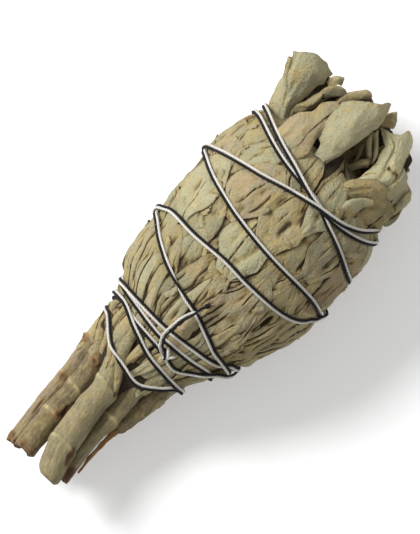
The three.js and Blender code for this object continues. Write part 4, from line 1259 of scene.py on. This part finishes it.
def frayed_end(mesh, end, direction, seed, count, length=1.3):
    """Loose fibres that stand out of a cut thread."""
    random = np.random.default_rng(seed)
    direction = unit(np.asarray(direction, float))
    for k in range(count):
        spread = random.normal(0, 0.42, 3)
        start = end - direction * 0.4 + random.normal(0, 0.13, 3)
        reach = length * random.uniform(0.5, 1.1)
        bend = random.normal(0, 0.2, 3)
        steps = np.linspace(0, 1, 6)[:, None]
        path = start + (direction + spread * steps) * reach * steps + bend * steps**2
        path[:, 2] = np.maximum(path[:, 2], SURFACE_Z + 0.1)
        fibre(mesh, path, random.uniform(0.045, 0.08), k)


def stray_hairs(mesh, line, seed, spacing):
    """Short hairs that stand off a wound thread."""
    random = np.random.default_rng(seed)
    points = evenly_along(line, 0.25)
    along = unit(np.gradient(points, axis=0))
    for i in range(8, len(points) - 8, round(spacing / 0.25)):
        i = min(len(points) - 9, i + int(random.integers(0, 6)))
        out = unit((points[i] - BUNCH_MIDDLE) * [0, 1, 1])
        start = points[i] + out * THREAD_RADIUS * 0.6
        lean = out * random.uniform(0.15, 0.8) + along[i] * random.uniform(-1, 1) + random.normal(0, 0.25, 3)
        steps = np.linspace(0, 1, 4)[:, None]
        path = start + lean * steps * random.uniform(0.5, 1.0) + random.normal(0, 0.12, 3) * steps**2
        path[:, 2] = np.maximum(path[:, 2], SURFACE_Z + 0.1)
        fibre(mesh, path, 0.035, i)


# The knot: loops of each thread round the pair where the winding starts and ends
KNOT_X = -19.9
KNOT_LOOPS = [(0.35, 0.98), (-0.45, 0.92)]  # white, black: place along the pair, size
LOOP_TURNS = 1.1
# The white thread's short end beside it: x, angle, height over the outline
KNOT_END = [[-19.1, -0.37, 2.2], [-20.3, -0.32, 2.7], [-21.6, -0.26, 2.3]]


def knot_loops():
    """The loops' centrelines: white, black."""
    centre = bunch_point(KNOT_X, math.radians(-15), 1.75)
    along = unit(np.array([0.75, -0.64, 0.0]))
    up = np.array([0.0, 0.0, 1.0])
    across = np.cross(up, along)
    steps = np.linspace(0, 1, 40)[:, None]
    turn = 2 * np.pi * LOOP_TURNS * steps + np.pi
    loops = []
    for shift, reach in KNOT_LOOPS:
        run = shift + 0.8 * (steps - 0.5) * LOOP_TURNS
        high = reach * (0.85 * np.cos(turn) + 0.05)
        loops.append(centre + along * run + across * 1.35 * reach * np.sin(turn) + up * high)
    return loops


def end_knot(line):
    """A turn and a half of thread round the tail's cut end."""
    along = unit(line[-1] - line[-4])
    across = unit(np.cross(along, [0.0, 0.0, 1.0]))
    up = np.cross(across, along)
    steps = np.linspace(0, 1, 24)[:, None]
    turn = 3 * np.pi * steps
    return line[-1] + along * (0.9 * steps - 0.8) + 0.42 * (across * np.cos(turn) + up * np.sin(turn))


# Each thread's material: its name, its colour, its painted shade between the strands, its fuzz
THREAD_LOOKS = {
    "white": ("white_cotton", (216, 213, 205), (150, 144, 134), 0.1),
    "black": ("black_cotton", (24, 22, 24), (8, 7, 8), 0.02),
}


def threads(lines):
    """The wound threads with their knot, frayed ends and hairs."""
    loops = knot_loops()
    for k, (name, look) in enumerate(THREAD_LOOKS.items()):
        made = Mesh()
        line = lines[k][:-3] if name == "white" else lines[k]
        twisted(made, line, 3 + k)
        twisted(made, loops[k], 8 + k)
        frayed_end(made, line[-1], line[-1] - line[-4], 21 + k, 16 + 14 * k)
        if name == "white":
            stub = evenly_along(bunch_point(*np.array(KNOT_END).T), 0.3)
            twisted(made, stub, 12)
            frayed_end(made, stub[-1], stub[-1] - stub[0], 31, 9, 0.7)
        else:
            twisted(made, end_knot(line), 14)
        stray_hairs(made, line, 61 + k, 3.5)
        piece = made.make(f"thread_{name}_twisted", thread_material(*look))
        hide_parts(f"thread_{name}")


# Materials
def set_inputs(owner, node, values):
    owner.use_nodes = True
    for title, value in values.items():
        owner.node_tree.nodes[node].inputs[title].default_value = value


class Nodes:
    """Short names for the node tree of one material."""

    def __init__(self, name, roughness, sheen=0.0, sheen_tint=(1, 1, 1, 1)):
        settings = {
            "Roughness": roughness, "Specular IOR Level": 0.25, "Sheen Weight": sheen,
            "Sheen Roughness": 0.5, "Sheen Tint": sheen_tint,
        }
        self.material = bpy.data.materials.new(name)
        set_inputs(self.material, "Principled BSDF", settings)
        self.tree = self.material.node_tree
        self.shader = self.tree.nodes["Principled BSDF"]

    def link(self, value, socket):
        if isinstance(value, bpy.types.NodeSocket):
            self.tree.links.new(value, socket)
        elif value is not None:
            socket.default_value = value

    def node(self, kind, inputs, **settings):
        """The outputs of a new node, whose inputs are numbers, colours or the outputs of others."""
        made = self.tree.nodes.new("ShaderNode" + kind)
        for title, value in settings.items():
            setattr(made, title, value)
        for place, value in inputs.items():
            self.link(value, made.inputs[place])
        return made.outputs

    def attribute(self, name, kind="Fac"):
        return self.node("Attribute", {}, attribute_name=name)[kind]

    def parts(self, vector):
        return self.node("SeparateXYZ", {0: vector})

    def vector(self, x, y, z):
        return self.node("CombineXYZ", {0: x, 1: y, 2: z})[0]

    def math(self, kind, a, b):
        return self.node("Math", {0: a, 1: b}, operation=kind)[0]

    def noise(self, vector, scale, detail=3.0, rough=0.55):
        inputs = {"Vector": vector, "Scale": scale, "Detail": detail, "Roughness": rough}
        return self.node("TexNoise", inputs)["Fac"]

    def fibres(self, place, along, across, detail=5, rough=0.65):
        """Noise that is drawn out along a piece."""
        x, y, z = self.parts(place)
        drawn_out = self.vector(self.math("MULTIPLY", x, along), self.math("MULTIPLY", y, across), z)
        return self.noise(drawn_out, 1.0, detail, rough)

    def cells(self, vector, scale):
        """Distance to the border between cells: the net of fine veins."""
        inputs = {"Vector": vector, "Scale": scale}
        return self.node("TexVoronoi", inputs, feature="DISTANCE_TO_EDGE")["Distance"]

    def ramp(self, value, low, high, to_low=0.0, to_high=1.0):
        inputs = {0: value, 1: low, 2: high, 3: to_low, 4: to_high}
        return self.node("MapRange", inputs, clamp=True)["Result"]

    def varied(self, value, other, *ramp):
        """The value moved up and down by another one."""
        return self.math("ADD", value, self.ramp(other, *ramp))

    def mix(self, share, a, b, kind="MIX"):
        return self.node("Mix", {0: share, 6: a, 7: b}, data_type="RGBA", blend_type=kind)[2]

    def layers(self, colour, *rows):
        """The colour under others, each a row: a value, where it starts and is full, share, colour."""
        for value, starts, full, share, over in rows:
            colour = self.mix(self.ramp(value, starts, full, 0, share), colour, over)
        return colour

    def brightened(self, colour, bright):
        return self.mix(1.0, colour, self.vector(bright, bright, bright), "MULTIPLY")

    def bump(self, height, distance, strength=1.0, normal=None):
        inputs = {"Strength": strength, "Distance": distance, "Height": height, "Normal": normal}
        return self.node("Bump", inputs)["Normal"]

    def done(self, colour, normal):
        self.link(colour, self.shader.inputs["Base Color"])
        self.link(normal, self.shader.inputs["Normal"])
        return self.material


def shades(*colours):
    return [srgb(*colour) for colour in colours]


def leaf_material():
    n = Nodes("dry_leaf", 0.92, sheen=0.12, sheen_tint=srgb(225, 215, 190))
    grey, khaki, pink, yellow = shades((157, 153, 121), (162, 147, 104), (174, 141, 116), (176, 150, 78))
    dark, brown, pale = shades((46, 34, 24), (112, 84, 54), (196, 188, 162))
    place, edge, cavity = n.attribute("place", "Vector"), n.attribute("edge"), n.attribute("cavity")
    warm, pinkness, light = n.parts(n.attribute("tint", "Vector"))
    texture = n.node("TexCoord", {})["Object"]
    mottle, patches = n.noise(texture, 190, 4), n.noise(texture, 430, 3)
    fine, specks, net = n.noise(place, 4.5, 4, 0.7), n.noise(place, 2.1, 3, 0.6), n.cells(place, 0.85)
    colour = n.layers(
        grey,
        (n.varied(warm, mottle, 0.35, 0.65, -0.6, 0.5), 0.15, 0.95, 1, khaki),
        (n.varied(pinkness, patches, 0.3, 0.75, -0.35, 0.35), 0.25, 0.95, 0.85, pink),
        (n.noise(place, 0.3, 3), 0.54, 0.72, 0.55, yellow),
        (fine, 0.5, 0.7, 0.35, pale),
        (specks, 0.56, 0.7, 0.5, brown),
        (net, 0.09, 0, 0.22, pale),
    )
    colour = n.mix(n.math("MULTIPLY", edge, n.ramp(specks, 0.35, 0.7, 0.1, 0.75)), colour, brown)
    # Painted shade: yellower, then dark, where a point lies deep among the leaves, along cracks, in pits and
    # in the crown's hollow.
    colour = n.layers(colour, (cavity, 0, 0.3, 0.4, yellow), (cavity, 0.1, 0.6, 0.95, dark))
    colour = n.brightened(colour, n.varied(n.ramp(light, 0, 1.8, 0.72, 1.44), mottle, 0.3, 0.7, -0.08, 0.08))
    normal = n.bump(fine, 0.0003)
    normal = n.bump(n.ramp(net, 0, 0.2), 0.00013, 0.55, normal)
    normal = n.bump(n.noise(place, 1.3, 4), 0.0006, 0.6, normal)
    return n.done(colour, normal)


def stem_material():
    n = Nodes("dry_stem", 0.8, sheen=0.08)
    pale, olive, pink, brown = shades((158, 146, 108), (124, 104, 64), (158, 132, 106), (80, 52, 29))
    dark, grey, yellow, bleached = shades((42, 29, 18), (142, 136, 114), (168, 152, 92), (192, 181, 152))
    orange = srgb(138, 104, 62)
    place, edge, cavity = n.attribute("place", "Vector"), n.attribute("edge"), n.attribute("cavity")
    warm, pinkness, light = n.parts(n.attribute("tint", "Vector"))
    fibres, streaks = n.fibres(place, 0.12, 1.6), n.fibres(place, 0.35, 3.2, 4, 0.7)
    mottle, specks = n.noise(place, 0.35, 4), n.noise(place, 3.4, 4, 0.75)
    colour = n.layers(
        pale,
        (n.varied(warm, mottle, 0.3, 0.7, -0.25, 0.25), 0.1, 0.9, 1, olive),
        (n.varied(pinkness, mottle, 0.3, 0.7, 0.3, -0.3), 0.2, 0.9, 0.9, pink),
        (fibres, 0.5, 0.7, 0.6, grey),
        (fibres, 0.45, 0.25, 0.5, brown),
        (streaks, 0.42, 0.3, 0.6, dark),
        (n.noise(place, 1.1, 5, 0.75), 0.5, 0.66, 0.55, bleached),
        (specks, 0.54, 0.68, 0.6, brown),
        (specks, 0.46, 0.34, 0.45, bleached),
        (n.noise(place, 0.45, 3), 0.5, 0.68, 0.6, yellow),
        (edge, 0.05, 0.55, 0.85, orange),
        (edge, 0.6, 1, 0.85, brown),
        # Painted shade in the grooves, the rings and the knobs' hollows, and the darker parts of the cut
        # ends.
        (cavity, 0.1, 0.9, 0.85, dark),
    )
    colour = n.brightened(colour, n.ramp(light, 0, 2, 0.75, 1.45))
    normal = n.bump(fibres, 0.0007)
    normal = n.bump(streaks, 0.0005, 0.9, normal)
    normal = n.bump(n.noise(place, 3.0, 4, 0.7), 0.0004, 0.9, normal)
    return n.done(colour, normal)


def splinter_material():
    n = Nodes("torn_strip", 0.75)
    orange, pale, dark = shades((142, 96, 50), (178, 146, 98), (64, 40, 22))
    fibres = n.fibres(n.attribute("place", "Vector"), 0.2, 2.2)
    colour = n.mix(n.ramp(fibres, 0.4, 0.7), orange, pale)
    colour = n.layers(colour, (fibres, 0.5, 0.25, 0.8, dark), (n.attribute("cavity"), 0.1, 0.9, 0.8, dark))
    return n.done(colour, n.bump(fibres, 0.0004, 0.9))


def thread_material(name, light, shade, fuzz):
    n = Nodes(name, 0.9, sheen=fuzz)
    strand = n.fibres(n.attribute("place", "Vector"), 1.1, 14, 4, 0.6)
    light, shade = shades(light, shade)
    # Painted shade between the strands and along their drawn-out lines.
    colour = n.layers(light, (n.attribute("cavity"), 0.1, 1.0, 0.8, shade), (strand, 0.65, 0.35, 0.3, shade))
    return n.done(colour, n.bump(strand, 0.0002, 0.8))


FLAKES = 70


def flakes(mesh, height):
    """Small torn bits of leaf that stand off the tied body."""
    random = np.random.default_rng(97)
    for number in range(FLAKES):
        x = random.uniform(-14, 38)
        angle = math.radians(random.normal(0, 75))
        turn, length = random.normal(0, 0.7), random.uniform(1.6, 3.6)
        half = length * random.uniform(0.18, 0.3)
        spine = []
        for t in (0, 0.5, 1):
            run, arc = length * t * math.cos(turn), length * t * math.sin(turn)
            place, aside = x + run, angle + arc / bunch_radius(x)
            low = float(sampled(height, np.array(place), np.array(aside)))
            point = bunch_point(place, aside, min(low, HIGHEST) + 0.05 + 0.5 * t * t)
            spine.append([*point, half * (0.5 + 0.6 * math.sin(math.pi * (t + 0.3) / 1.3)), 0, -60])
        tint = [random.uniform(0.5, 1), random.uniform(0, 0.4), random.uniform(0.3, 0.8)]
        free_leaf(mesh, spine, 800 + number, tint, ruffle=0.25, step=0.3, up=outward(angle), rib=0,
                  thickness=0.25, wrinkle=0.12)


# The pieces
def leaf_piece(made, name, material):
    piece = made.make(name, material)
    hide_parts("leaves")


def leaves(lines):
    material = leaf_material()
    pressed = PressedLeaves(core_height(*GRID_PLACES))
    lay_body_leaves(pressed)
    lay_feature_leaves(pressed)
    neck_starts = len(pressed.laid)
    lay_neck(pressed)
    ceiling = ceiling_grid(lines)
    body, neck = Mesh(), Mesh()
    pressed.add_to(neck, ceiling, neck_starts)
    del pressed.laid[neck_starts:]
    pressed.add_to(body, ceiling)
    flakes(body, np.minimum(limited(blurred(pressed.height, 1, 1), ceiling), ceiling))
    sheaths(neck)
    leaf_piece(packed_mass(), "leaves_packed_core", material)
    leaf_piece(body, "leaves_pressed_body", material)
    leaf_piece(neck, "leaves_gathered_neck", material)
    for number, (name, (tint, shade, crumple, guides)) in enumerate(CROWN.items()):
        made = Mesh()
        guided_leaf(made, guides, 300 + number, tint, shade, crumple)
        leaf_piece(made, "crown_" + name, material)
    hidden = Mesh()
    crown_rings(hidden)
    crown_filling(hidden)
    for number, spine in enumerate(CROWN_FILL):
        # These lie under the others and are painted in deep shade.
        free_leaf(hidden, spine, 400 + number, KHAKI if number % 2 else GREY, shade=0.95)
    leaf_piece(hidden, "crown_inner_and_far_leaves", material)


def stems():
    material = stem_material()
    for number, (name, rows) in enumerate(STEMS.items()):
        stem(name, number, material, **rows)
    splinter()


# The photograph's view: straight down, with the bunch's length running up to the right
PHOTO_CENTRE = np.array([2.67, 3.70, 20.0]) * MM
PHOTO_HEIGHT = 133.5 * MM
CAMERA_DISTANCE = 3.0
SENSOR = 36.0
IMAGE_UP_ANGLE = math.atan2(0.689, 0.725)


def camera():
    data = bpy.data.cameras.new("photo_camera")
    data.sensor_fit = "AUTO"
    data.sensor_width = SENSOR
    data.lens = SENSOR * CAMERA_DISTANCE / PHOTO_HEIGHT
    data.clip_start, data.clip_end = 0.01, 10
    made = bpy.data.objects.new("photo_camera", data)
    made.location = PHOTO_CENTRE + [0, 0, CAMERA_DISTANCE]
    made.rotation_euler = (0, 0, IMAGE_UP_ANGLE - math.pi / 2)
    bpy.context.scene.collection.objects.link(made)
    bpy.context.scene.camera = made


def area_light(name, place, size, power):
    data = bpy.data.lights.new(name, "AREA")
    data.shape = "DISK"
    data.size = size
    data.energy = power
    made = bpy.data.objects.new(name, data)
    made.location = place
    made.rotation_euler = (-made.location).to_track_quat("-Z", "Y").to_euler()
    bpy.context.scene.collection.objects.link(made)


FLOOR_REACH = 3.0
WHITE = (1, 1, 1, 1)
FLOOR_LOOK = {
    "Base Color": (0.86, 0.86, 0.86, 1), "Roughness": 0.9, "Emission Color": WHITE, "Emission Strength": 0.2,
}
SKY_LOOK = {"Color": WHITE, "Strength": 0.46}


def studio():
    mesh = bpy.data.meshes.new("floor")
    corners = [(FLOOR_REACH * x, FLOOR_REACH * y, 0) for x, y in ((-1, -1), (1, -1), (1, 1), (-1, 1))]
    mesh.from_pydata(corners, [], [(0, 1, 2, 3)])
    floor = bpy.data.objects.new("floor", mesh)
    material = bpy.data.materials.new("pale_floor")
    set_inputs(material, "Principled BSDF", FLOOR_LOOK)
    mesh.materials.append(material)
    bpy.context.scene.collection.objects.link(floor)
    area_light("key", (-0.06, 0.56, 0.54), 0.3, 7.4)
    area_light("fill", (0.25, -0.45, 0.75), 0.8, 0.8)
    world = bpy.data.worlds.new("soft_white")
    set_inputs(world, "Background", SKY_LOOK)
    bpy.context.scene.world = world
    bpy.context.scene.view_settings.view_transform = "Standard"


def bunch():
    at, out, turn = winding_points()
    lines = [thread_line(at, out, turn, side) for side in (1, -1)]
    leaves(lines)
    stems()
    threads(lines)


bunch()
studio()
camera()
